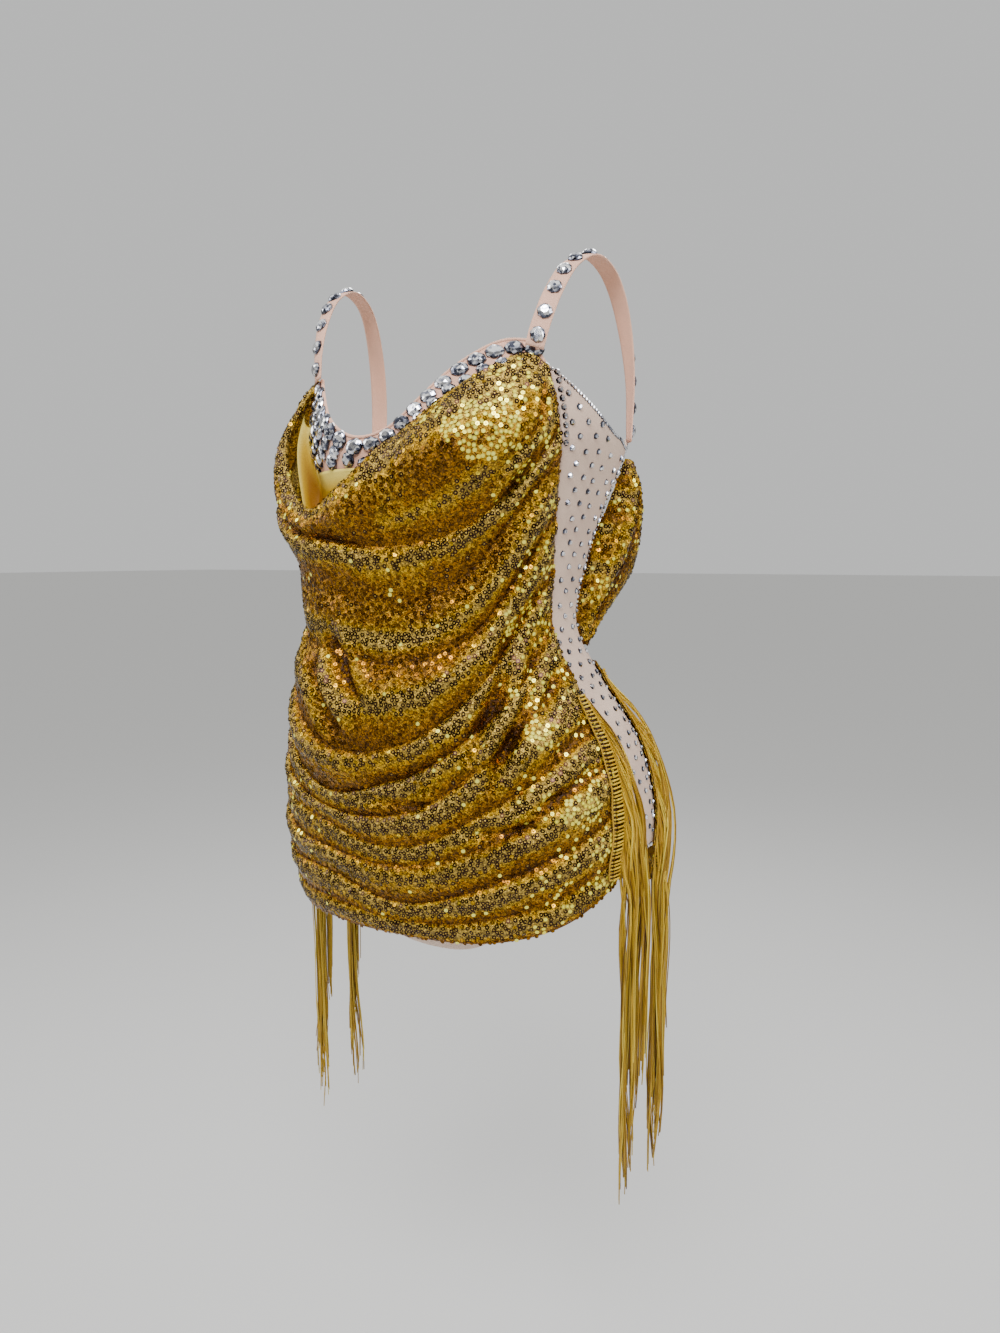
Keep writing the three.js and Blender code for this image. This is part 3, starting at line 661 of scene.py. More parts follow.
def lining(grid):
    """How much of the peach lining shows through the front panel: all of it by the neckline"""
    below = grid[:1, :, 2] - grid[..., 2]
    return smooth((LINING["below"] - below) / LINING["fade"])


front_grid = body_front()
front_body = cloth("front_panel", "body_front", front_grid, NUDE_MESH, lining(front_grid))
back_body = cloth("back_panel", "body_back", body_back(), NUDE_MESH)
left_side = cloth("side_left", "side_panel_left", side_panel(), NUDE_MESH)
right_side = cloth("side_right", "side_panel_right", mirror_grid(side_panel()), NUDE_MESH)

# Crystals and rhinestones
NECK_ROWS = table(
    "below start end step scale",
    (8.6, -0.95, 0.90, 17.2, 1.1),
    (22.5, -0.93, 0.86, 17.4, 0.9),
    (37, -0.88, -0.16, 18.2, 1.0),
    (51.5, -0.92, -0.30, 18.0, 0.98),
    (65.5, -0.94, -0.5, 17.5, 0.92),
)
NECK_JITTER = 0.8
TURN_UPRIGHT = {"at": -0.12, "over": 0.15, "lean": 0.25}
LOWEST_STONE = -193
STONE = {"radius": 7.7, "height": 4.4, "oval": 1.2}
NECK_STONE = {"length": 0.92, "level_width": 0.84}
# Each ring of a stone gets a painted tone: a lighter table, a dark girdle and a darker base
CUT = table(
    "ring height turn tone",
    (0.50, 1.0, 0, 0.4),
    (0.80, 0.70, 0.5, 0.0),
    (1.0, 0.28, 0, -0.9),
    (1.0, -0.25, 0, -1.4),
)
FACETS = 8
RHINESTONE = {"radius": 3.3, "height": 2.2, "facets": 6, "table": 0.5}
# Painted light on the small stones: a bright table and a dark rim
RHINESTONE_LIGHT_AND_SHADE = (0.9, -2.2)
BINDING_TONE = 0.5
NECK_BINDING = {"reach": 0.985, "points": 120, "below": 0.4, "out": 0.6, "radius": 1.7, "sides": 8}
UP = np.array([0, 0, 1.0])


def stone(parts, centre, normal, along, size, tone):
    """A faceted stone: a table, two rings of crown facets, a girdle and a base"""
    length, width, height = size
    normal = unit(normal)
    along = unit(along - normal * np.dot(along, normal))
    side = np.cross(normal, along)
    points = []
    for ring, rise, turn in zip(CUT["ring"], CUT["height"], CUT["turn"]):
        angle = 2 * np.pi * (np.arange(FACETS) + turn) / FACETS
        round_ring = np.outer(np.cos(angle) * length, along) + np.outer(np.sin(angle) * width, side)
        points.append(centre + ring * round_ring + normal * rise * height)
    faces = [list(range(FACETS))]
    for k in range(FACETS):
        after = (k + 1) % FACETS
        table_ring, crown, girdle, base = (FACETS * level + np.array([k, after]) for level in range(4))
        faces.append([table_ring[0], crown[0], table_ring[1]])
        faces.append([table_ring[1], crown[0], crown[1]])
        faces.append([crown[0], girdle[1], crown[1]])
        faces.append([crown[0], girdle[0], girdle[1]])
        faces.append([girdle[0], base[0], base[1], girdle[1]])
    parts.add(np.concatenate(points), faces, tone + np.repeat(CUT["tone"], FACETS))


def rhinestone(parts, centre, normal, radius, tone):
    """A small flat-backed stone: a table and one ring of facets"""
    facets = RHINESTONE["facets"]
    normal = unit(normal)
    first = unit(np.cross(normal, (0.1, 0.2, 1.0)))
    ring = rings(first[None], np.cross(normal, first)[None], facets)[0] * radius
    height = RHINESTONE["height"] * radius / RHINESTONE["radius"]
    points = [centre + ring * RHINESTONE["table"] + normal * height, centre + ring]
    faces = [list(range(facets))]
    for k in range(facets):
        after = (k + 1) % facets
        faces.append([k, facets + k, facets + after, after])
    parts.add(np.concatenate(points), faces, tone + np.repeat(RHINESTONE_LIGHT_AND_SHADE, facets))


def surface_frame(point_at, across, z):
    """A point, its outward normal and the direction across, from a surface of two numbers"""
    aside, rise = 0.01, 0.5
    level = point_at(across + aside, z) - point_at(across - aside, z)
    down = point_at(across, z - rise) - point_at(across, z + rise)
    return point_at(across, z), unit(np.cross(down, level)), unit(level)


def body_point(across, z):
    return skin(across * front_seam(z), z, BODY_CLOTH)


def evenly(line, step):
    """Shares along a line of points, the same length apart"""
    length = lengths(line)
    count = max(2, int(length[-1] / step) + 1)
    return np.interp(np.linspace(0, length[-1], count), length, np.linspace(0, 1, len(line)))


def neck_stones():
    """Staggered rows of oval stones below the neckline: upright on the far cup, level on the near"""
    parts = Parts()
    draw = np.random.default_rng(11)
    for number, (below, start, end, step, scale) in enumerate(zip(*NECK_ROWS.values())):
        trial = np.linspace(start, end, 200)
        shares = evenly(body_point(trial, neck_height(trial) - below), step)
        if number % 2:
            shares = (shares[1:] + shares[:-1]) / 2
        radius = STONE["radius"] * scale
        for across in mix(start, end, shares):
            z = neck_height(across) - below + draw.uniform(-NECK_JITTER, NECK_JITTER)
            if z < LOWEST_STONE:
                continue
            centre, normal, along = surface_frame(body_point, across, z)
            upright = smooth((TURN_UPRIGHT["at"] - across) / TURN_UPRIGHT["over"])
            lean = mix(along, along * TURN_UPRIGHT["lean"] + UP, upright)
            length = radius * STONE["oval"] * NECK_STONE["length"]
            width = radius * mix(NECK_STONE["level_width"], 1.0, upright)
            stone(parts, centre, normal, lean, (length, width, STONE["height"]), draw.uniform())
    return parts.build("neck_stones", CRYSTAL, "crystal")


def neck_binding():
    """The narrow binding along the neckline"""
    spec = NECK_BINDING
    across = np.linspace(-spec["reach"], spec["reach"], spec["points"])
    z = neck_height(across)
    line = skin(across * front_seam(z), z - spec["below"], BODY_CLOTH * spec["out"])
    parts = Parts()
    parts.add(*tube(line, spec["radius"], spec["sides"]), BINDING_TONE)
    return parts.build("neck_binding", BINDING, "nude_mesh", is_smooth=True)


neck_crystals = neck_stones()
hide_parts("body_front")
binding = neck_binding()

# Side panel rhinestones: staggered rows over the mesh, and close rows along its edges
SPREAD = {"start": 0.02, "end": 0.98, "points": 60}
PANEL_ROW = {"top": -122, "step": 19, "apart": 0.62, "start": 4, "inset": 0.07, "below_arm": 7}
PANEL_JITTER = {"share": 0.02, "height": 1.5}
ARM_ROW = {"below": 1.6, "step": 3.7, "radius": 1.8}
EDGE_ROWS = table(
    "start end top bottom points step radius",
    (0.965, 0.965, -164, -330, 80, 4.6, 2.3),
    (0.965, 0.965, -330, LEG_TOP + 2, 110, 14, 2.8),
    (0.02, 0.98, LEG_TOP + 2.4, LEG_TOP + 2.4, 60, 4.6, 2.2),
    (0.05, 0.05, -116, -176, 30, 7.5, 3.3),
)
SIDE_MIDDLE = 30
STONE_SEAT = 0.1


def spaced(line, step):
    """Points along a line, the same length apart"""
    return along_line(line, np.arange(len(line)), evenly(line, step) * (len(line) - 1))


def edge_lines():
    """The lines of stones along the panel's edges, with the step and the radius of each"""
    share = np.linspace(SPREAD["start"], SPREAD["end"], SPREAD["points"])
    lines = [(side_point(share, armhole(share) - ARM_ROW["below"]), ARM_ROW["step"], ARM_ROW["radius"])]
    for start, end, top, bottom, points, step, radius in zip(*EDGE_ROWS.values()):
        share, z = np.linspace(start, end, int(points)), np.linspace(top, bottom, int(points))
        lines.append((side_point(share, z), step, radius))
    return lines


def panel_stones():
    """The left panel's stones"""
    parts = Parts()
    draw = np.random.default_rng(23)
    row, step, inset = PANEL_ROW, PANEL_ROW["step"], PANEL_ROW["inset"]
    aside, rise = PANEL_JITTER["share"], PANEL_JITTER["height"]
    for number, z in enumerate(np.arange(row["top"], LEG_TOP, -step * row["apart"])):
        girth = np.linalg.norm(side_point(1, z) - side_point(0, z))
        shares = (np.arange(0, girth, step) + (number % 2) * step / 2 + row["start"]) / girth
        for share in shares + draw.uniform(-aside, aside, len(shares)):
            if inset < share < 1 - inset and z < armhole(share) - row["below_arm"]:
                centre, normal, _ = surface_frame(side_point, share, z + draw.uniform(-rise, rise))
                rhinestone(parts, centre, normal, RHINESTONE["radius"], draw.uniform())
    for line, apart, radius in edge_lines():
        for centre in spaced(line, apart):
            outward = unit(centre - np.array([0, SIDE_MIDDLE, centre[2]]))
            rhinestone(parts, centre + outward * STONE_SEAT, outward, radius, draw.uniform())
    return parts


panel_stones().build("side_stones_left", CRYSTAL, "crystal")
panel_stones().mirrored().build("side_stones_right", CRYSTAL, "crystal")

# Straps
STRAP_LINE = table(
    "x y z turn",
    (119, -93, -96, 34),
    (122, -87, -76, 28),
    (127, -72, -45, 18),
    (132, -48, -17, 12),
    (137, -12, -1, 8),
    (142, 22, -11, 2),
    (147, 44, -44, -14),
    (151, 57, -100, -38),
    (151.6, 55.8, -164, -54),
)
STRAP_FOOT = {"left": -96, "right": -105}
STRAP_WIDTH = 17
STRAP_STONE = {"count": 14, "start": 0.03, "length": 0.97, "width": 0.93, "seat": 0.6}
STRAP_ROWS = 90
STRAP_COLUMNS = 9
STRAP_CROWN = 0.9


def strap_line(foot):
    """Middle line, width direction and outward direction along the left strap, evenly spaced"""
    table_points = np.stack([STRAP_LINE[name] for name in "xyz"], axis=-1)
    table_points[0, 2] = foot
    chord = lengths(table_points)
    at = np.linspace(0, chord[-1], STRAP_ROWS)
    line = np.stack([curve(chord, table_points[:, k])(at) for k in range(3)], axis=-1)
    turn = np.radians(curve(chord, STRAP_LINE["turn"])(at))
    along = unit(np.gradient(line, axis=0))
    across = np.stack([np.cos(turn), np.sin(turn), 0 * turn], axis=-1)
    across = unit(across - along * np.sum(across * along, axis=-1, keepdims=True))
    return line, across, unit(np.cross(across, along))


def strap(side, foot):
    line, across, out = strap_line(foot)
    width = np.linspace(-0.5, 0.5, STRAP_COLUMNS)[:, None]
    grid = line[:, None] - across[:, None] * width * STRAP_WIDTH
    grid = grid + out[:, None] * STRAP_CROWN * np.cos(np.pi * width)
    stones = Parts()
    draw = np.random.default_rng(5)
    along = unit(np.gradient(line, axis=0))
    spec = STRAP_STONE
    size = (STONE["radius"] * spec["length"], STONE["radius"] * spec["width"], STONE["height"])
    for share in np.linspace(spec["start"], 1 - spec["start"], spec["count"]):
        k = int(round(share * (STRAP_ROWS - 1)))
        stone(stones, line[k] + out[k] * spec["seat"], out[k], along[k], size, draw.uniform())
    if side == "right":
        grid = mirror_grid(grid)
        stones.mirrored()
    band = cloth(f"strap_band_{side}", f"strap_{side}", grid, STRAP_TAPE)
    stones.build(f"strap_stones_{side}", CRYSTAL, "crystal")
    return band


straps = [strap(side, foot) for side, foot in STRAP_FOOT.items()]

# The drape's tables: its top edge, and the tuck under each swag with the swag's own swell
DRAPE_EDGE_OUT = 4.4
COWL_EDGE = table(
    "across z out",
    (-1, -106, 4.4),
    (-0.92, -122, 15),
    (-0.8, -158, 27),
    (-0.62, -208, 38),
    (-0.42, -233, 43),
    (-0.22, -212, 33),
    (-0.04, -182, 18),
    (0.16, -152, 8.5),
    (0.38, -127, 6.5),
    (0.62, -110, 5.6),
    (0.85, -104, 5),
    (1, -113, 4.4),
)

# Where the columns of the swags' table lie across the drape, from the right seam to the left
PLACES = {
    "right": -1,
    "right_side": -0.65,
    "right_front": -0.3,
    "middle": 0,
    "left_front": 0.35,
    "left_side": 0.7,
    "left": 1,
}
OUT_PLACES = {"out_right": -0.7, "out_front": -0.25, "out_left": 0.4}
DEEP_PLACES = {"far": -0.9, "front": -0.3, "near": 0.3, "seam": 0.85}

# The swags from the cowl down: tuck heights, stand-off, the swell's ridge, crest and roll, the number of
# rows, and how deep the tuck is at four places
SWAGS = table(
    "right right_side right_front middle left_front left_side left "
    "out_right out_front out_left ridge crest roll rows far front near seam",
    (-152, -240, -260, -266, -250, -212, -165, 50, 44, 9, 12, 0.60, 2, 30, 1.0, 1.0, 0.3, 0.9),
    (-196, -292, -312, -320, -291, -232, -186, 44, 42, 10, 11, 0.28, 3, 15, 0.5, 0.25, 0.5, 1.0),
    (-262, -350, -367, -376, -350, -289, -236, 44, 38, 12, 11, 0.62, 1, 17, 0.5, 0.35, 0.5, 1.0),
    (-330, -404, -456, -452, -397, -337, -290, 42, 30, 12, 14, 0.48, 2, 19, 0.6, 0.7, 0.45, 1.0),
    (-376, -456, -502, -484, -430, -381, -344, 34, 23, 11, 13, 0.32, 5, 15, 0.8, 1.0, 0.8, 0.9),
    (-408, -486, -519, -516, -462, -408, -384, 31, 20, 10, 11, 0.32, 4, 13, 1.0, 1.0, 0.6, 0.8),
    (-440, -512, -534, -547, -505, -462, -438, 28, 17, 9, 11, 0.38, 3, 14, 0.8, 0.5, 0.6, 0.8),
    (-486, -544, -560, -565, -535, -494, -470, 26, 15, 8, 9, 0.40, 3, 12, 1.0, 0.9, 0.7, 0.8),
    (-536, -578, -587, -602, -575, -544, -511, 24, 14, 8, 10, 0.40, 3, 13, 1.0, 1.0, 0.9, 0.9),
    (-572, -608, -614, -619, -609, -586, -556, 20, 13, 7, 8, 0.42, 2, 11, 0.8, 0.8, 0.7, 0.7),
    (-600, -632, -636, -636, -633, -617, -586, 16, 12, 6, 6, 0.50, 0, 10, 1.0, 1.0, 1.0, 1.0),
)
BAND = 9.5
CREST_FULL = 46
DRAPE_COLUMNS = 200
ROLL_ROWS = 6
ROLL_RADIUS = 2.3
TURN_ROWS = 8
TURNED = table(
    "across depth",
    (-1, 3),
    (-0.95, 16),
    (-0.88, 33),
    (-0.8, 45),
    (-0.7, 45),
    (-0.6, 33),
    (-0.5, 17),
    (-0.4, 6),
    (-0.25, 2.5),
    (1, 2.5),
)

# Short creases, from one place to another across the drape, with how wide and how deep each is
CREASES = table(
    "across z to_across to_z width depth",
    (-0.40, -344, -0.10, -424, 6.5, 7.5),
    (-0.47, -372, -0.18, -456, 6, 6),
    (0.60, -352, 0.22, -470, 6.5, 5.5),
    (0.80, -352, 0.30, -492, 6, 5),
    (0.50, -426, 0.30, -498, 5.5, 5),
    (0.87, -383, 0.48, -457, 5.5, 4.5),
    (0.92, -431, 0.62, -463, 5, 4),
    (0.91, -466, 0.52, -508, 5.5, 4.5),
    (0.97, -112, 0.80, -168, 5, 4.5),
    (0.92, -150, 0.42, -226, 6, 4.5),
    (0.91, -166, 0.54, -240, 5.5, 4.5),
    (0.44, -142, 0.28, -168, 5, 3),
    (-0.96, -190, -0.70, -270, 6, 5),
    (-0.97, -300, -0.66, -378, 6, 5),
    (-0.95, -470, -0.60, -536, 6, 4.5),
    (0.20, -528, 0.62, -520, 5, 3.5),
    (-0.20, -500, 0.16, -508, 5, 3),
)
DRAPE_HALF_WIDTH = 175

# Patches of painted highlights: sequins painted bright where they face the lamp
BRIGHT = table(
    "across z wide tall share",
    (0.50, -168, 0.20, 26, 0.8),
    (0.66, -140, 0.12, 16, 0.55),
    (0.22, -154, 0.07, 8, 0.5),
    (0.61, -338, 0.05, 14, 0.7),
    (0.60, -436, 0.07, 17, 0.85),
    (0.74, -508, 0.10, 15, 0.85),
    (0.88, -550, 0.07, 12, 0.6),
    (0.58, -616, 0.06, 9, 0.4),
    (-0.52, -522, 0.05, 24, 0.4),
    (0.90, -300, 0.05, 40, 0.35),
    (-0.60, -150, 0.10, 20, 0.3),
)

# The ripples of the cloth and of its tone: size, pace and start down, pace and start across
RIPPLES = {
    "broad": (1.6, 1.3, 0, 3, 40),
    "long": (1.3, 3.1, 0, 2.2, 40),
    "drawn": (1.1, 5.7, 20, 2, 60),
    "gather": (1.3, 9, 0, 4, 40),
    "weave": (0.3, 16, 50, 24, 50),
    "ridge": (0.22, 7.7, 0, 2.3, 60),
    "tuck": (0.2, 5.3, 7, 3.1, 30),
    "pleat": (0.9, 5, 0, 9, 30),
    "band": (0.45, 0.9, 15, 5, 70),
    "mottle": (0.10, 4, 33, 9, 44),
    "turned": (0.25, 1 / 7, 12, 16, 40),
    "glow": (2, 9, 20, 1 / 11, 80),
    "ragged": (0.5, 30, 60, 1 / 6, 90),
    "back_glow": (2.2, 1 / 26, 50, 1 / 19, 60),
}

# The form of the folds
RIDGE = {"least": 0.15, "most": 1.2}
LEAST_TUCK = 0.1
LIP = {"rise": 1.1, "fall": 1.6, "steeper": 1.2, "belly": 0.35}
CREASE = {"ends": 0.25, "ridge": 0.6, "beside": 1.9}
POCKET = {"below": 0.16, "above": 0.07}
SCALLOP = 0.010
LEAST_OUT = 3.1
BAND_BELLY = 1.2

# The tone, with painted light and shade: a base, the bands of rings on the crests where sequins are painted
# dark as reflections, the pockets painted darker as shade, and the sides painted lighter
ROLL_TONE = 0.8
TURNED_TONE = 0.55
TONE = {"base": 0.31, "band": 0.62, "pocket": 0.3, "crease": 0.06}
BAND_SHARE = 0.95
BAND_WIDTH = {"least": 0.12, "most": 0.36}
COWL_BANDS = {"upper": 0.14, "upper_wide": 0.17, "lower": 0.77, "lower_wide": 0.06, "lower_share": 0.8}
SIDE_PAINTED_LIGHT = {"far": 0.22, "near": 0.16}

cowl_height = curve(COWL_EDGE["across"], COWL_EDGE["z"])
cowl_out = curve(COWL_EDGE["across"], COWL_EDGE["out"])
turned_depth = curve(TURNED["across"], TURNED["depth"])
broad_noise, long_noise, fine_noise, edge_noise = Noise(3), Noise(4), Noise(5), Noise(6)


def along_swag(places, level):
    """One of a swag's measures along it, from the columns of the table and where each is"""
    return curve(list(places.values()), [SWAGS[name][level] for name in places])


def tuck_lines(across):
    """Height and stand-off of the cowl edge and of every tuck, at places across the drape"""
    heights, outs = [cowl_height(across)], [cowl_out(across)]
    for level in range(len(SWAGS["right"])):
        heights.append(along_swag(PLACES, level)(across))
        stand = [SWAGS[name][level] for name in OUT_PLACES]
        stand_at = curve((-1, *OUT_PLACES.values(), 1), [DRAPE_EDGE_OUT, *stand, DRAPE_EDGE_OUT])
        outs.append(stand_at(across))
    return np.array(heights), np.array(outs)


def lip(share, crest):
    """How far a swag stands out between the tuck above it (0) and its own tuck (1)"""
    rise = np.sin(np.pi / 2 * np.clip(share / crest, 0, 1)) ** LIP["rise"]
    fall = 1 - np.clip((share - crest) / (1 - crest), 0, 1)
    bent = fall ** (LIP["fall"] - LIP["steeper"] * crest) * (1 + LIP["belly"] * fall * (1 - fall))
    return np.where(share < crest, rise, bent)


def tuck_depth(level, across):
    """How deep the tuck under a swag is, along it; the cowl edge has none"""
    if level < 0:
        return np.zeros_like(across)
    uneven = ripple(broad_noise, RIPPLES["tuck"], level, across)
    return np.clip(along_swag(DEEP_PLACES, level)(across) + uneven, LEAST_TUCK, 1)


def crease_depth(creases, width_of_one, across, z):
    """The depth of the short creases at places of a piece, with a soft ridge beside each"""
    depth = np.zeros(np.broadcast(across, z).shape)
    for a0, z0, a1, z1, width, deep in zip(*creases.values()):
        run = np.array([(a1 - a0) * width_of_one, z1 - z0])
        length = np.hypot(*run)
        dx, dz = (across - a0) * width_of_one, z - z0
        t = (dx * run[0] + dz * run[1]) / length**2
        beside = (dx * run[1] - dz * run[0]) / length
        ends = smooth(t / CREASE["ends"]) * smooth((1 - t) / CREASE["ends"])
        ridge = hump(np.abs(beside) - CREASE["beside"] * width, width)
        depth += deep * ends * (hump(beside, width) - CREASE["ridge"] * ridge)
    return depth


def pockets(level, share, deep):
    """How far into a tuck a row lies, by the depths of the tuck below it and the one above: the weight of
    the painted shade there
    """
    below = hump(1 - share, POCKET["below"]) * deep[level + 1]
    return below + hump(share, POCKET["above"]) * deep[level]


def drape_rows():
    """The level and the share of every row of the drape, closer together at the tucks"""
    rows = []
    for level, count in enumerate(SWAGS["rows"].astype(int)):
        shares = 0.5 - 0.5 * np.cos(np.pi * np.arange(count) / count)
        rows += [(level, share) for share in shares]
    return rows + [(len(SWAGS["rows"]) - 1, 1.0)]


def fold_relief(ridges, deep, crests, rolls):
    """A function of level and share: how far the folds stand out and roll up, with shallow tucks filled"""
    around = np.concatenate([ridges[:1], np.minimum(ridges[:-1], ridges[1:]), ridges[-1:]])
    filled = around * (1 - deep)
    filled[[0, -1]] = 0

    def relief(level, share):
        swell = lip(share, crests[level])
        floor = mix(filled[level], filled[level + 1], share)
        return floor + (ridges[level] - floor) * swell, rolls[level] * swell * deep[level]

    return relief


def drape_tone(level, share, fall, across, deep, crease):
    """The tone along one row: crests carry a band of open rings, sequins painted dark as reflections;
    pockets and slopes are amber, with the pockets and creases painted darker as shade and the sides painted
    lighter
    """
    v = level + share
    if level == 0:
        lower = hump(share - COWL_BANDS["lower"], COWL_BANDS["lower_wide"]) * fade(across, -0.1, 0.2)
        upper = hump(share - COWL_BANDS["upper"], COWL_BANDS["upper_wide"])
        band = upper + COWL_BANDS["lower_share"] * lower
    else:
        wide = np.clip(BAND / fall, BAND_WIDTH["least"], BAND_WIDTH["most"])
        band = hump(share - SWAGS["crest"][level], wide)
    band = band * (BAND_SHARE + ripple(long_noise, RIPPLES["band"], v, across))
    # Painted light: the tone rises towards both sides. Painted shade: it drops in the pockets and the
    # creases
    far = SIDE_PAINTED_LIGHT["far"] * fade(-across, 0.5, 0.3)
    near = SIDE_PAINTED_LIGHT["near"] * fade(across, 0.55, 0.3)
    mottle = ripple(broad_noise, RIPPLES["mottle"], v, across)
    tone = TONE["base"] + TONE["band"] * band - TONE["pocket"] * pockets(level, share, deep)
    return tone + far + near + mottle - TONE["crease"] * crease


def front_drape():
    """The drape's outer grid, and the tone of each point from a pocket (0) to a crest (1), with painted
    light and shade
    """
    across = np.linspace(-1, 1, DRAPE_COLUMNS)
    from_middle = np.abs(across)
    heights, outs = tuck_lines(across)
    falls = heights[:-1] - heights[1:]
    edge_fade = 1 - from_middle**5
    number = np.arange(len(falls))[:, None]
    ridges = SWAGS["ridge"][:, None] * np.clip(falls / CREST_FULL, RIDGE["least"], RIDGE["most"])
    ridges = ridges * (1 + ripple(broad_noise, RIPPLES["ridge"], number, across))
    deep = np.array([tuck_depth(level - 1, across) for level in range(len(heights))])
    relief_at = fold_relief(ridges, deep, SWAGS["crest"], SWAGS["roll"])
    seam_share = fade(from_middle, 0.25, 0.6)
    seam_gather = np.exp(-(1 - from_middle) / 0.13)
    grid, folds = [], []
    for level, share in drape_rows():
        v = level + share
        relief, roll = relief_at(level, share)
        wave = ripple(broad_noise, RIPPLES["broad"], v, across)
        wave = wave + ripple(long_noise, RIPPLES["long"], v, across)
        drawn = ripple(long_noise, RIPPLES["drawn"], v, across) * seam_share
        gather = ripple(fine_noise, RIPPLES["gather"], v, across) * seam_gather
        weave = ripple(fine_noise, RIPPLES["weave"], v, across)
        z = mix(heights[level], heights[level + 1], share) + roll * edge_fade
        calm = smooth(v / 0.35) * smooth((len(falls) - v) / 0.3)
        crease = crease_depth(CREASES, DRAPE_HALF_WIDTH, across, z)
        out = mix(outs[level], outs[level + 1], share) + relief * edge_fade
        out = out + ((wave + drawn - crease) * edge_fade + gather + weave) * calm
        scallop = 1 + SCALLOP * edge_noise(v * 5, 0) * from_middle**9
        grid.append(skin(across * scallop * front_seam(z), z, np.maximum(out, LEAST_OUT)))
        folds.append(drape_tone(level, share, falls[level], across, deep, crease))
    return np.array(grid), np.clip(folds, 0, 1)


def below_edge(grid, depths):
    """The points of a grid's columns at lengths below its top edge"""
    down = lengths(grid)
    found = [along_line(grid[:, k], down[:, k], depth) for k, depth in enumerate(depths)]
    return np.array(found)


def with_rolled_edge(grid, folds):
    """The top edge turned over to the inside: a soft roll, then a band of cloth inside the cowl"""
    across = np.linspace(-1, 1, grid.shape[1])
    inward = -unit(normals(grid)[0] * (1, 1, 0))
    rows, tones = [], []
    for share in np.linspace(1, 0, TURN_ROWS + 1)[:-1]:
        depth = turned_depth(across) * share
        slack = 2 * ROLL_RADIUS + BAND_BELLY * np.sin(np.pi * share)
        rows.append(below_edge(grid, depth) + inward * slack)
        tones.append(TURNED_TONE + ripple(long_noise, RIPPLES["turned"], depth, across))
    for angle in np.linspace(np.pi, 0, ROLL_ROWS + 1)[:-1]:
        swing = 1 - np.cos(angle)
        rows.append(grid[0] + ROLL_RADIUS * (inward * swing + UP * np.sin(angle)))
        tones.append(np.full(len(across), ROLL_TONE))
    return np.concatenate([rows, grid]), np.clip(np.concatenate([tones, folds]), 0, 1)


drape_grid, drape_folds = front_drape()
rolled_grid, rolled_folds = with_rolled_edge(drape_grid, drape_folds)
drape = cloth("drape_cloth", "front_drape", rolled_grid, SEQUIN_NET, rolled_folds)

# The facing behind the cowl
FACING = {"from": -0.93, "to": -0.20, "columns": 60, "rows": 40, "top": -195}
FACING_FIT = {"hollow": 22, "full": 22, "lap": 3, "over": 10, "tuck": 3, "shade": 1.25}
FACING_CLOTH = 1.2
LAYER_GAP = 0.5


def cowl_facing():
    fit = FACING_FIT
    across = np.linspace(FACING["from"], FACING["to"], FACING["columns"])
    down = shares_down(FACING["rows"])
    edge_z = cowl_height(across) - turned_depth(across) + fit["lap"]
    edge_out = cowl_out(across) - fit["tuck"]
    top = np.maximum(FACING["top"], edge_z - fit["over"])
    body_out = BODY_CLOTH + FACING_CLOTH + LAYER_GAP * 2
    room = smooth((edge_out - body_out) / fit["full"])
    belly = np.sin(np.pi * down)
    z = mix(top, edge_z, down) - fit["hollow"] * belly * room
    out = mix(body_out, np.maximum(edge_out, body_out + LAYER_GAP), smooth(down))
    pleat = ripple(long_noise, RIPPLES["pleat"], down, across) * belly
    # Painted shade: the facing is darker where it sags deepest into the hollow
    light = np.clip(1 - fit["shade"] * belly * room, 0, 1)
    return skin(across * front_seam(edge_z), z, out + pleat), light


facing_grid, facing_light = cowl_facing()
facing = cloth("cowl_lining", "cowl_facing", facing_grid, NET_REVERSE, facing_light)

# The back pieces, in swags between their two side edges
BACK_GAP_DEG = 0.34
BACK_SPREAD = {"swag": 0.5, "skirt": 0.9, "dip": 1.3}
BACK_RIDGE = {"rise": 1.4, "start": 0.3}
BACK_SWAGS = table(
    "edge mid out ridge",
    (-178, -262, 42, 0),
    (-206, -290, 68, 7),
    (-236, -316, 80, 8),
    (-268, -338, 78, 8),
    (-304, -358, 58, 8),
    (-338, -368, 30, 6),
    (-366, -376, 5, 0),
)
BACK_SKIRT = table(
    "edge mid out ridge",
    (-384, -390, 4, 0),
    (-420, -432, 9, 5),
    (-456, -474, 12, 6),
    (-490, -514, 14, 7),
    (-522, -552, 16, 7),
    (-552, -588, 17, 7),
    (-580, -622, 17, 7),
    (-602, -652, 14, 5),
)
BACK_COLUMNS = 160
BACK_ROWS = 15
BACK_WIDTH = 440
BACK_RIPPLES = {
    "height": (9, 6.7, 9, 2.7, 70),
    "tuck": (0.5, 4.9, 3, 3.3, 33),
    "ridge": (0.3, 3.3, 0, 4, 20),
    "crest": (0.14, 5.1, 0, 0, 3),
    "broad": (1.8, 1.7, 0, 4, 0),
    "long": (1.4, 3.7, 30, 3, 0),
    "gather": (1.2, 8, 0, 5, 0),
    "weave": (0.3, 15, 30, 26, 0),
    "band": (0.05, 1, 0, 6, 50),
    "mottle": (0.12, 4, 11, 12, 31),
}
BACK_FOLD = {"deep": 0.62, "least": 0.15, "crest": 0.4, "ridge": 1.2, "roll": 3.0}
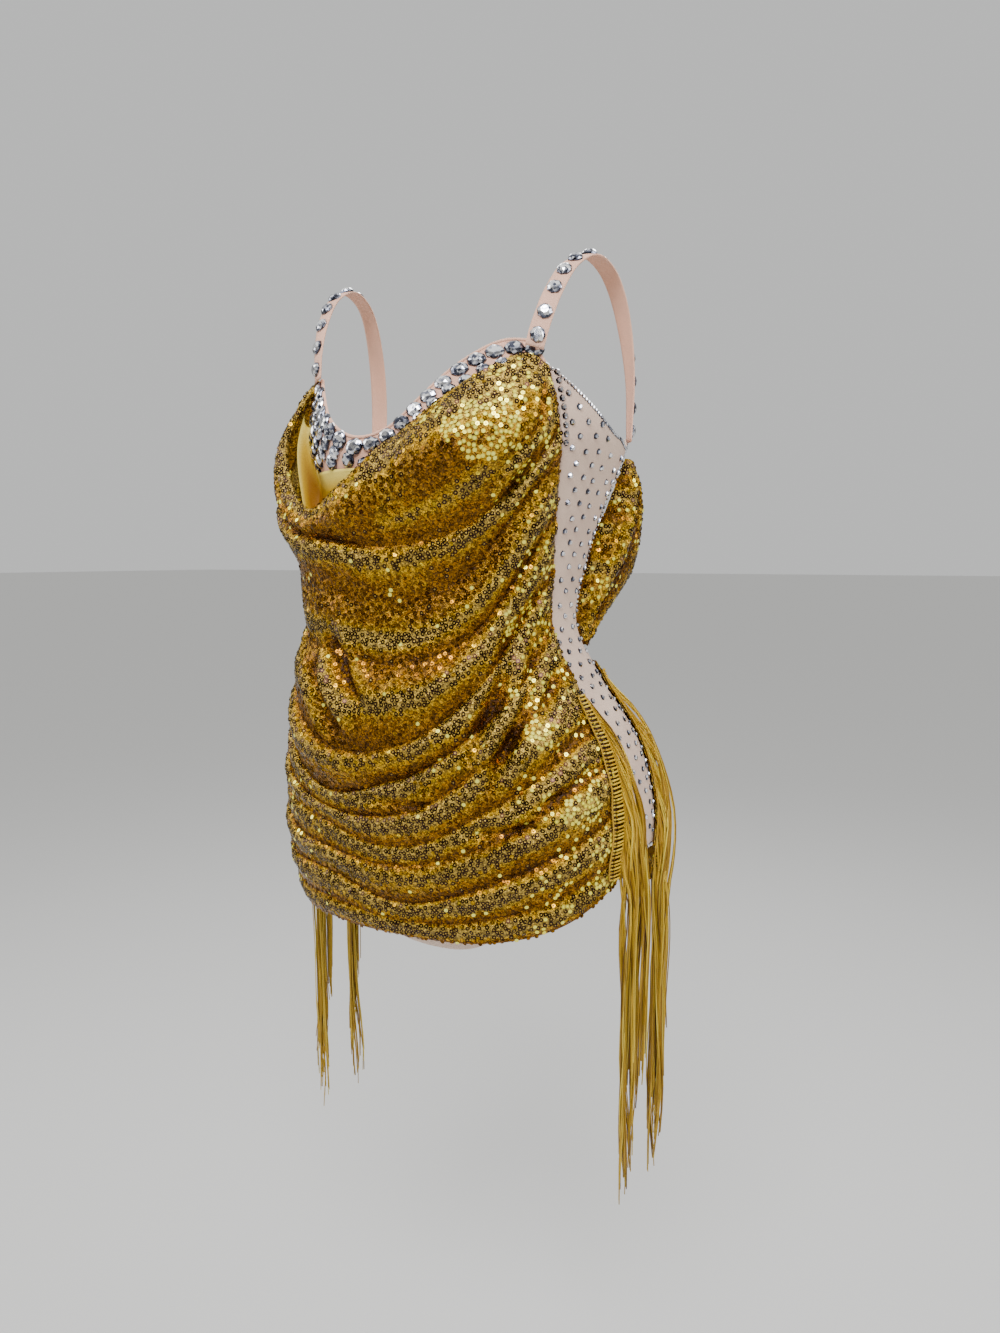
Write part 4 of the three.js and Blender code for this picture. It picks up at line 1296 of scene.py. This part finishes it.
# The back's tone: a base, bands on the crests, and painted shade in the pockets, along the pleats and in
# the creases
BACK_TONE = {"base": 0.33, "band": 0.58, "pocket": 0.28, "pleat": 0.34, "crease": 0.05}
BACK_BAND = 0.22
SWAG_CREASES = table(
    "across z to_across to_z width depth",
    (0.30, -262, 0.52, -318, 7, 6),
    (0.72, -268, 0.50, -342, 7, 5),
    (0.40, -300, 0.66, -352, 6, 5),
)
SKIRT_CREASES = table(
    "across z to_across to_z width depth",
    (0.08, -404, 0.40, -486, 7, 5),
    (0.93, -410, 0.60, -502, 7, 5),
    (0.10, -470, 0.36, -560, 7, 5),
    (0.90, -498, 0.58, -590, 7, 5),
    (0.34, -440, 0.64, -474, 6, 4),
    (0.42, -528, 0.70, -552, 6, 4),
    (0.20, -560, 0.52, -618, 6, 4),
)
PLEATS = {"count": 2.6, "least": 0.07, "most": 0.22, "height": 5.5}


def pleats_at(side, down):
    """Upright pleats that meet at the upper and lower corner of each side, from -1 to 1, and where"""
    reach = PLEATS["least"] + PLEATS["most"] * np.sin(np.pi * down) ** 0.8
    place_in = side / reach
    here = smooth((1.25 - place_in) / 0.5) * smooth(place_in / 0.12)
    return -np.cos(2 * np.pi * PLEATS["count"] * place_in**0.85), here


def back_piece(rows, creases, spread, pleated, seed):
    """A back piece's outer grid and its tones, with painted light and shade: swags in the middle and pleats
    or gathers at the sides
    """
    across = np.linspace(0, 1, BACK_COLUMNS)
    side = np.minimum(across, 1 - across)
    bow = np.sin(np.pi * across)
    belly, dip = bow**spread, bow ** BACK_SPREAD["dip"]
    near_edge = np.exp(-side / 0.06)
    gather_noise, wave_noise = Noise(seed), Noise(seed + 1)

    def wander(name, down, across, noise_of=wave_noise):
        return ripple(noise_of, BACK_RIPPLES[name], down, across)

    number = np.arange(len(rows["edge"]))[:, None]
    inner = np.ones(number.shape)
    inner[[0, -1]] = 0
    heights = mix(rows["edge"][:, None], rows["mid"][:, None], dip)
    heights = heights + inner * bow * wander("height", number, across)
    deep = np.clip(BACK_FOLD["deep"] + wander("tuck", number, across), BACK_FOLD["least"], 1)
    ridges = rows["ridge"][1:, None] * BACK_FOLD["ridge"] * (1 + wander("ridge", number[1:], across))
    crests = BACK_FOLD["crest"] + wander("crest", number[1:, 0], 0)
    last = len(crests)
    relief_at = fold_relief(ridges, deep, crests, np.full(last, BACK_FOLD["roll"]))
    grid, folds = [], []
    steps = [(level, share) for level in range(last) for share in np.arange(BACK_ROWS) / BACK_ROWS]
    for level, share in steps + [(last - 1, 1.0)]:
        v = level + share
        down = v / last
        pleat, here = pleats_at(side, down)
        here = here * pleated * smooth(down / 0.08) * smooth((1 - down) / 0.08)
        relief, roll = relief_at(level, share)
        wave = wander("broad", v, across) + wander("long", v, across)
        gather = wander("gather", v, across, gather_noise) * near_edge
        weave = wander("weave", v, across, gather_noise)
        rise = smooth(belly * BACK_RIDGE["rise"] - BACK_RIDGE["start"]) * (1 - 0.85 * here)
        calm = smooth(v / 0.3) * smooth((last - v) / 0.3)
        z = mix(heights[level], heights[level + 1], share) + roll * rise * calm
        crease = crease_depth(creases, BACK_WIDTH, across, z) * rise * calm
        out = mix(rows["out"][level], rows["out"][level + 1], share) * belly + relief * rise
        out = out + (wave * rise + gather + weave) * calm + PLEATS["height"] * pleat * here - crease
        edge = back_seam(z) + BACK_GAP_DEG
        grid.append(skin(mix(edge, 360 - edge, across), z, DRAPE_EDGE_OUT + np.maximum(out, 0)))
        # Painted light and shade: ring bands on the crests, darker pockets and creases, and a tone that
        # follows the pleats' height
        band = hump(share - crests[level], BACK_BAND + wander("band", v, across)) * (1 - here)
        pocket = pockets(level, share, deep) * (0.3 + 0.7 * rise)
        tone = BACK_TONE["base"] + BACK_TONE["band"] * band - BACK_TONE["pocket"] * pocket
        tone = tone + BACK_TONE["pleat"] * pleat * here - BACK_TONE["crease"] * crease
        folds.append(tone + wander("mottle", v, across))
    return np.array(grid), np.clip(folds, 0, 1)


swag_grid, swag_folds = back_piece(BACK_SWAGS, SWAG_CREASES, BACK_SPREAD["swag"], 1.0, 21)
skirt_grid, skirt_folds = back_piece(BACK_SKIRT, SKIRT_CREASES, BACK_SPREAD["skirt"], 0.0, 31)
swag = cloth("back_swag_cloth", "back_swag", swag_grid, SEQUIN_NET, swag_folds)
skirt = cloth("back_skirt_cloth", "back_skirt", skirt_grid, SEQUIN_NET, skirt_folds)

# Sequins
SEQUIN_SIZE = {"radius": 2.1, "sides": 8, "apart": 3.5, "lift": 0.5, "tilt": 0.13}
TRIES = 2.4
SLOPE_TONE = {"base": 0.36, "vary": 0.055, "rise": 0.28, "least": 0.2, "most": 0.8}
# Sequins painted dark as reflections of the dim room, mostly on the crests; sequins painted bright as
# highlights, and a few painted glints
DARK = {"least": 0.03, "share": 0.94, "most_tone": 0.08}
LIT = {"tone": 0.92, "vary": 0.08}
SPARK_SHARE = 0.012
# Sequins painted bright as highlights: beside the left seam, at the edges of the patches, and in patches on
# the back
SEAM_HIGHLIGHTS = {"seam": 0.14, "patchy": 0.25, "cut": 0.3}
PATCH_EDGE = {"out": 1.25, "over": 0.5}
BACK_HIGHLIGHTS = {"base": 0.05, "patchy": 0.45, "cut": 0.7}


def at_grid(grid, row, column):
    """Values of a grid between its rows and columns"""
    i = np.clip(row.astype(int), 0, grid.shape[0] - 2)
    j = np.clip(column.astype(int), 0, grid.shape[1] - 2)
    s, t = row - i, column - j
    if grid.ndim == 3:
        s, t = s[:, None], t[:, None]
    return mix(mix(grid[i, j], grid[i + 1, j], s), mix(grid[i, j + 1], grid[i + 1, j + 1], s), t)


def scatter(grid, seed):
    """Places spread evenly over a grid: rows, columns and points"""
    draw = np.random.default_rng(seed)
    down, across = grid[1:, :-1] - grid[:-1, :-1], grid[:-1, 1:] - grid[:-1, :-1]
    area = np.linalg.norm(np.cross(down, across), axis=-1).ravel()
    apart = SEQUIN_SIZE["apart"]
    count = int(TRIES * area.sum() / apart**2)
    row, column = np.divmod(draw.choice(len(area), count, p=area / area.sum()), grid.shape[1] - 1)
    row, column = row + draw.uniform(size=count), column + draw.uniform(size=count)
    points = at_grid(grid, row, column)
    keys = np.floor(points / apart).astype(int).tolist()
    steps = (-1, 0, 1)
    around = [(i, j, k) for i in steps for j in steps for k in steps]
    kept, placed = [], {}
    for number, ((a, b, c), (x, y, z)) in enumerate(zip(keys, points.tolist())):
        near = (other for i, j, k in around for other in placed.get((a + i, b + j, c + k), ()))
        if all((x - px) ** 2 + (y - py) ** 2 + (z - pz) ** 2 >= apart**2 for px, py, pz in near):
            placed.setdefault((a, b, c), []).append((x, y, z))
            kept.append(number)
    return row[kept], column[kept], points[kept]


def sequin_tones(fold, draw, bright):
    """The tone of every sequin: dark on the crests as painted reflections of the dim room, amber in the
    valleys with painted shade where the tone is low, with bright ones between as painted highlights and
    glints
    """
    count = len(fold)
    tone = SLOPE_TONE["base"] + SLOPE_TONE["vary"] * draw.standard_normal(count)
    tone = tone + SLOPE_TONE["rise"] * fade(fold, 0.25, 0.4)
    tone = np.clip(tone, SLOPE_TONE["least"], SLOPE_TONE["most"])
    is_dark = draw.uniform(size=count) < DARK["least"] + DARK["share"] * fade(fold, 0.48, 0.2)
    tone = np.where(is_dark, DARK["most_tone"] * draw.uniform(size=count), tone)
    is_bright = draw.uniform(size=count) < bright
    tone = np.where(is_bright, LIT["tone"] + LIT["vary"] * draw.uniform(size=count), tone)
    is_spark = draw.uniform(size=count) < SPARK_SHARE
    return np.clip(np.where(is_spark, 1.0, tone), 0, 1)


def sequins(name, grid, folds, seed, bright_at):
    """Ring sequins over a grid, as one mesh of flat discs"""
    draw = np.random.default_rng(seed)
    row, column, points = scatter(grid, seed + 1)
    count, sides = len(points), SEQUIN_SIZE["sides"]
    normal = unit(at_grid(normals(grid), row, column))
    normal = unit(normal + SEQUIN_SIZE["tilt"] * draw.standard_normal((count, 3)))
    first = unit(np.cross(normal, draw.standard_normal((count, 3))))
    ring = rings(first, np.cross(normal, first), sides)
    centre = points + normal * SEQUIN_SIZE["lift"]
    corners = centre[:, None] + ring * SEQUIN_SIZE["radius"]
    faces = np.arange(count * sides).reshape(count, sides)
    disc = rings(np.array([[1.0, 0, 0]]), np.array([[0, 1.0, 0]]), sides)[0]
    across = column / (grid.shape[1] - 1) * 2 - 1
    tone = sequin_tones(at_grid(folds, row, column), draw, bright_at(across, points))
    values = {"tone": np.repeat(tone, sides), "disc": np.tile(disc, (count, 1))}
    return new_object(name, corners.reshape(-1, 3), faces, SEQUIN, "sequin_mesh", False, **values)


def front_bright(across, points):
    """The share of sequins painted bright as highlights on the drape: the patches, and the crests beside
    the left seam
    """
    z = points[:, 2]
    bright = SEAM_HIGHLIGHTS["seam"] * fade(across, 0.45, 0.25) * fade(-across, -1.02, 0.1)
    patchy = smooth(ripple(broad_noise, RIPPLES["glow"], across, z) - SEAM_HIGHLIGHTS["cut"])
    bright = bright + SEAM_HIGHLIGHTS["patchy"] * patchy * fade(np.abs(across), 0.4, 0.3)
    ragged = ripple(fine_noise, RIPPLES["ragged"], across, z)
    for a0, z0, wide, tall, share in zip(*BRIGHT.values()):
        away = ((across - a0) / wide) ** 2 + ((z - z0) / tall) ** 2 + ragged
        bright = np.maximum(bright, share * smooth((PATCH_EDGE["out"] - away) / PATCH_EDGE["over"]))
    return bright


def back_bright(_, points):
    """The share of sequins painted bright as highlights on the back pieces, in patches"""
    patchy = smooth(ripple(long_noise, RIPPLES["back_glow"], points[:, 0], points[:, 2]) - BACK_HIGHLIGHTS["cut"])
    return BACK_HIGHLIGHTS["base"] + BACK_HIGHLIGHTS["patchy"] * patchy


drape_sequins = sequins("drape_sequins", rolled_grid, rolled_folds, 41, front_bright)
swag_sequins = sequins("back_swag_sequins", swag_grid, swag_folds, 43, back_bright)
skirt_sequins = sequins("back_skirt_sequins", skirt_grid, skirt_folds, 47, back_bright)

# Fringe
FRINGE = {"strands": 168, "clump": 6, "length": 316, "radius": 0.56, "sides": 4, "uneven": 26, "hang": -606}
FRINGE_FRONT = {"top": -405, "bottom": -584, "out": 11, "bundle": 31, "left": 9, "right": 5, "tape": 0.92}
FRINGE_BACK = {"top": -388, "bottom": -596, "out": 12, "bundle": 15, "left": 5, "right": 5, "tape": 0.97}
RIB = {"step": 3.6, "radius": 1.0, "off": 1.5, "points": 7, "droop": 0.5, "sides": 6}
RIB_TONES = (0.45, 0.85)
EDGE_CORD = {"radius": 0.9, "off": 0.3, "tone": 0.45}
TAPE = {"off": 1.6, "thickness": 0.4, "sunk": 0.6}
LEAVE = {"width": 120, "out": 40, "start": 1.5, "fan": 1.45}
SWING = table("height size", (27, 1.7), (64, 4.0))
NARROWING = {"share": 0.6, "over": 320, "middle": 0.45}
ROOT = {"top": 3, "bottom": 5, "fall": 5}
BESIDE_STEP = 14
HANG_POINTS = 11
LEAST_HANG = 8
LOOSE = {"over": 70, "aside": 0.6}
LEAN = {"size": 6, "over": 260}
BACK_MIDDLE = 20

# What a clump's strands share, least and most: width, stand-off, two phases of the swing, and lean
CLUMP = table("least most", (-4, 5), (-3, 4.5), (0, 6.3), (0, 6.3), (-1, 1))
STRAND = {"out": 1, "width": 1.6, "short": 0.6, "phase": 0.5, "tone": 0.55, "vary": 0.26}


def edge_line(grid, column, heights):
    """Points of one grid column at given heights, smoothed along their length"""
    line = grid[:, column]
    line = line[np.argsort(-line[:, 2])]
    points = along_line(line[:, :2], -line[:, 2], -heights)
    window = np.ones(5) / 5
    padded = np.pad(points, ((2, 2), (0, 0)), mode="edge")
    level = np.stack([np.convolve(padded[:, k], window, mode="valid") for k in range(2)], axis=-1)
    return np.concatenate([level, heights[:, None]], axis=-1)


def header(parts, inner, outer, outward, draw):
    """The fringe's looped header: cord ribs over a tape in the darkest thread tone, as painted shade
    between them, between two edge cords
    """
    strip = np.stack([inner, outer], axis=1) - outward[:, None] * TAPE["sunk"]
    points, faces = shell(strip, TAPE["thickness"])
    # The tape takes the darkest thread tone: painted shade in the gaps between the ribs
    parts.add(points, faces.tolist(), 0.0)
    share = shares_down(RIB["points"])
    for start, end, out in zip(inner, outer, outward):
        droop = UP * draw.uniform(-RIB["droop"], RIB["droop"])
        line = mix(start, end, share) + out * RIB["off"] * np.sin(np.pi * share) ** 0.5 + droop
        parts.add(*tube(line, RIB["radius"], RIB["sides"]), draw.uniform(*RIB_TONES))
    for line in (inner, outer):
        cord = line + outward * EDGE_CORD["off"]
        parts.add(*tube(cord, EDGE_CORD["radius"], RIB["sides"]), EDGE_CORD["tone"])


def strand_line(spec, seam, side, top, root, clump, draw):
    """The line of one strand: out from its root, down beside the edge, and hanging from the hip"""
    stray, stand, phase, second_phase, lean = clump
    hip = FRINGE["hang"]
    lead = spec["left"] if side > 0 else spec["right"]
    out = spec["out"] + stand + draw.uniform(-STRAND["out"], STRAND["out"])
    levels = np.linspace(top - ROOT["fall"], hip, max(3, int((top - hip) / BESIDE_STEP) + 1))
    fallen = top - levels
    spread = lead + stray + draw.uniform(-STRAND["width"], STRAND["width"])
    width = mix(LEAVE["start"], spread, smooth(fallen / LEAVE["width"]))
    share = np.clip(fallen / (spec["top"] - spec["bottom"]), 0, 1)
    width = width + spec["bundle"] * share ** LEAVE["fan"]
    out = mix(DRAPE_EDGE_OUT + TAPE["off"], out, smooth(fallen / LEAVE["out"]))
    angle = seam(levels) + np.degrees(width / section["half"](levels))
    beside = skin(angle, levels, out) * (side, 1, 1)
    bottom = top - FRINGE["length"] + draw.uniform(-FRINGE["uneven"], FRINGE["uneven"] * STRAND["short"])
    drop = np.linspace(hip, bottom, HANG_POINTS)[1:] if bottom < hip - LEAST_HANG else np.array([])
    middle_width = lead + spec["bundle"] * NARROWING["middle"]
    middle = seam(hip) + np.degrees(middle_width / section["half"](hip))
    core = skin(middle, hip, out[-1]) * (side, 1, 1)
    drawn_in = NARROWING["share"] * smooth((hip - drop) / NARROWING["over"])
    hang = mix(np.repeat(beside[-1:], len(drop), axis=0), core, drawn_in[:, None])
    hang[:, 2] = drop
    line = np.concatenate([root, beside, hang])
    fallen = top - line[:, 2]
    loose = smooth(fallen / LOOSE["over"])
    for height, size in zip(*SWING.values()):
        turn = line[:, 2] / height + phase + draw.uniform(-STRAND["phase"], STRAND["phase"])
        line[:, 0] += loose * size * LOOSE["aside"] * np.sin(turn)
        line[:, 1] += loose * size * np.cos(turn + second_phase)
    line[:, 0] += LEAN["size"] * lean * smooth(fallen / LEAN["over"])
    return line


def fringe(name, node, grid, columns, spec, seam, side, seed):
    """A looped header over the cloth's edge, and strands in clumps that leave its outer side and hang"""
    draw = np.random.default_rng(seed)
    parts = Parts()
    heights = np.arange(spec["top"] - 2, spec["bottom"] + 2, -RIB["step"])
    inner, outer = (edge_line(grid, column, heights) for column in columns)
    outward = unit((inner + outer) / 2 * (1, 1, 0) - np.array([0, BACK_MIDDLE, 0]))
    off = outward * TAPE["off"]
    header(parts, inner + off, outer + off, outward, draw)
    for number, share in enumerate(np.linspace(0, 1, FRINGE["strands"])):
        if number % FRINGE["clump"] == 0:
            clump = draw.uniform(CLUMP["least"], CLUMP["most"])
        top = mix(spec["top"] - ROOT["top"], spec["bottom"] + ROOT["bottom"], share)
        root = edge_line(grid, columns[1], np.array([top, top - 1]))[:1] + off[0]
        line = strand_line(spec, seam, side, top, root, clump, draw)
        tone = np.clip(STRAND["tone"] + STRAND["vary"] * draw.standard_normal(), 0, 1)
        parts.add(*tube(line, FRINGE["radius"], FRINGE["sides"]), tone)
    piece = parts.build(name, THREAD, "chainette", is_smooth=True)
    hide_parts(node)
    return piece


def columns_of(grid, shares):
    return [int(round(share * (grid.shape[1] - 1))) for share in shares]


front_inner = (FRINGE_FRONT["tape"] + 1) / 2
drape_edges = {1: (front_inner, 1), -1: (1 - front_inner, 0)}
skirt_edges = {1: (1 - FRINGE_BACK["tape"], 0), -1: (FRINGE_BACK["tape"], 1)}
front_fringes, back_fringes = [], []
for side, word, seed in ((1, "left", 61), (-1, "right", 67)):
    columns = columns_of(drape_grid, drape_edges[side])
    names = f"front_strands_{word}", f"fringe_front_{word}"
    front_fringes.append(fringe(*names, drape_grid, columns, FRINGE_FRONT, front_seam, side, seed))
    columns = columns_of(skirt_grid, skirt_edges[side])
    names = f"back_strands_{word}", f"fringe_back_{word}"
    back_fringes.append(fringe(*names, skirt_grid, columns, FRINGE_BACK, back_seam, side, seed + 4))

# The floor, the room and the lights
FLOOR = -1.35
FLOOR_REACH = 60
ROOM = (
    (0.0, (0.20, 0.19, 0.18)),
    (0.40, (0.10, 0.095, 0.09)),
    (0.52, (0.06, 0.055, 0.055)),
    (0.66, (0.24, 0.24, 0.24)),
    (0.80, (0.9, 0.9, 0.88)),
    (1.0, (1.1, 1.1, 1.08)),
)
WALL = (0.66, 0.665, 0.66, 1)

# Where each light stands, its width and height, and its power
LIGHTS = {
    "key": ((0.55, -1.5, 1.25), (1.1, 0.7), 48),
    "fill": ((-1.7, -0.8, 0.4), (0.9, 1.4), 16),
    "side": ((1.8, 0.3, 0.5), (0.8, 1.2), 20),
    "rim": ((-0.5, 1.7, 1.1), (1.2, 0.8), 26),
}
AIM = (0, 0, -0.35)


def make_floor():
    mesh = bpy.data.meshes.new("floor")
    corners = [(x * FLOOR_REACH, y * FLOOR_REACH, FLOOR) for x, y in ((-1, -1), (1, -1), (1, 1), (-1, 1))]
    mesh.from_pydata(corners, [], [(0, 1, 2, 3)])
    made, _, shader = new_material("floor")
    set_values(shader, Base_Color=(0.62, 0.62, 0.615, 1), Roughness=0.6)
    mesh.materials.append(made)
    floor = bpy.data.objects.new("floor", mesh)
    scene.collection.objects.link(floor)


def make_world():
    """A pale room, and for reflections a bright ceiling over a dim band at eye level"""
    world = bpy.data.worlds.new("room")
    world.use_nodes = True
    tree = world.node_tree
    tree.nodes.clear()
    direction = add_node(tree, "ShaderNodeTexCoord").outputs["Generated"]
    up = add_node(tree, "ShaderNodeSeparateXYZ", {0: direction}).outputs["Z"]
    from_down_to_up = {"Value": up, "From Min": -1.0, "From Max": 1.0}
    level = add_node(tree, "ShaderNodeMapRange", from_down_to_up).outputs[0]
    seen = add_node(tree, "ShaderNodeLightPath").outputs["Is Camera Ray"]
    color = blend(tree, seen, ramp(tree, level, *ROOM), WALL)
    background = add_node(tree, "ShaderNodeBackground", {"Color": color, "Strength": 1.0})
    output = add_node(tree, "ShaderNodeOutputWorld")
    tree.links.new(background.outputs["Background"], output.inputs["Surface"])
    scene.world = world


def add_light(name, stand, size, energy):
    data = bpy.data.lights.new(name, "AREA")
    data.shape = "RECTANGLE"
    data.size, data.size_y = size
    data.energy = energy
    light = bpy.data.objects.new(name, data)
    light.location = stand
    away = np.array(stand) - np.array(AIM)
    spin = math.atan2(away[0], -away[1])
    light.rotation_euler = (math.atan2(math.hypot(away[0], away[1]), away[2]), 0, spin)
    scene.collection.objects.link(light)


make_floor()
make_world()
for name, settings in LIGHTS.items():
    add_light(name, *settings)
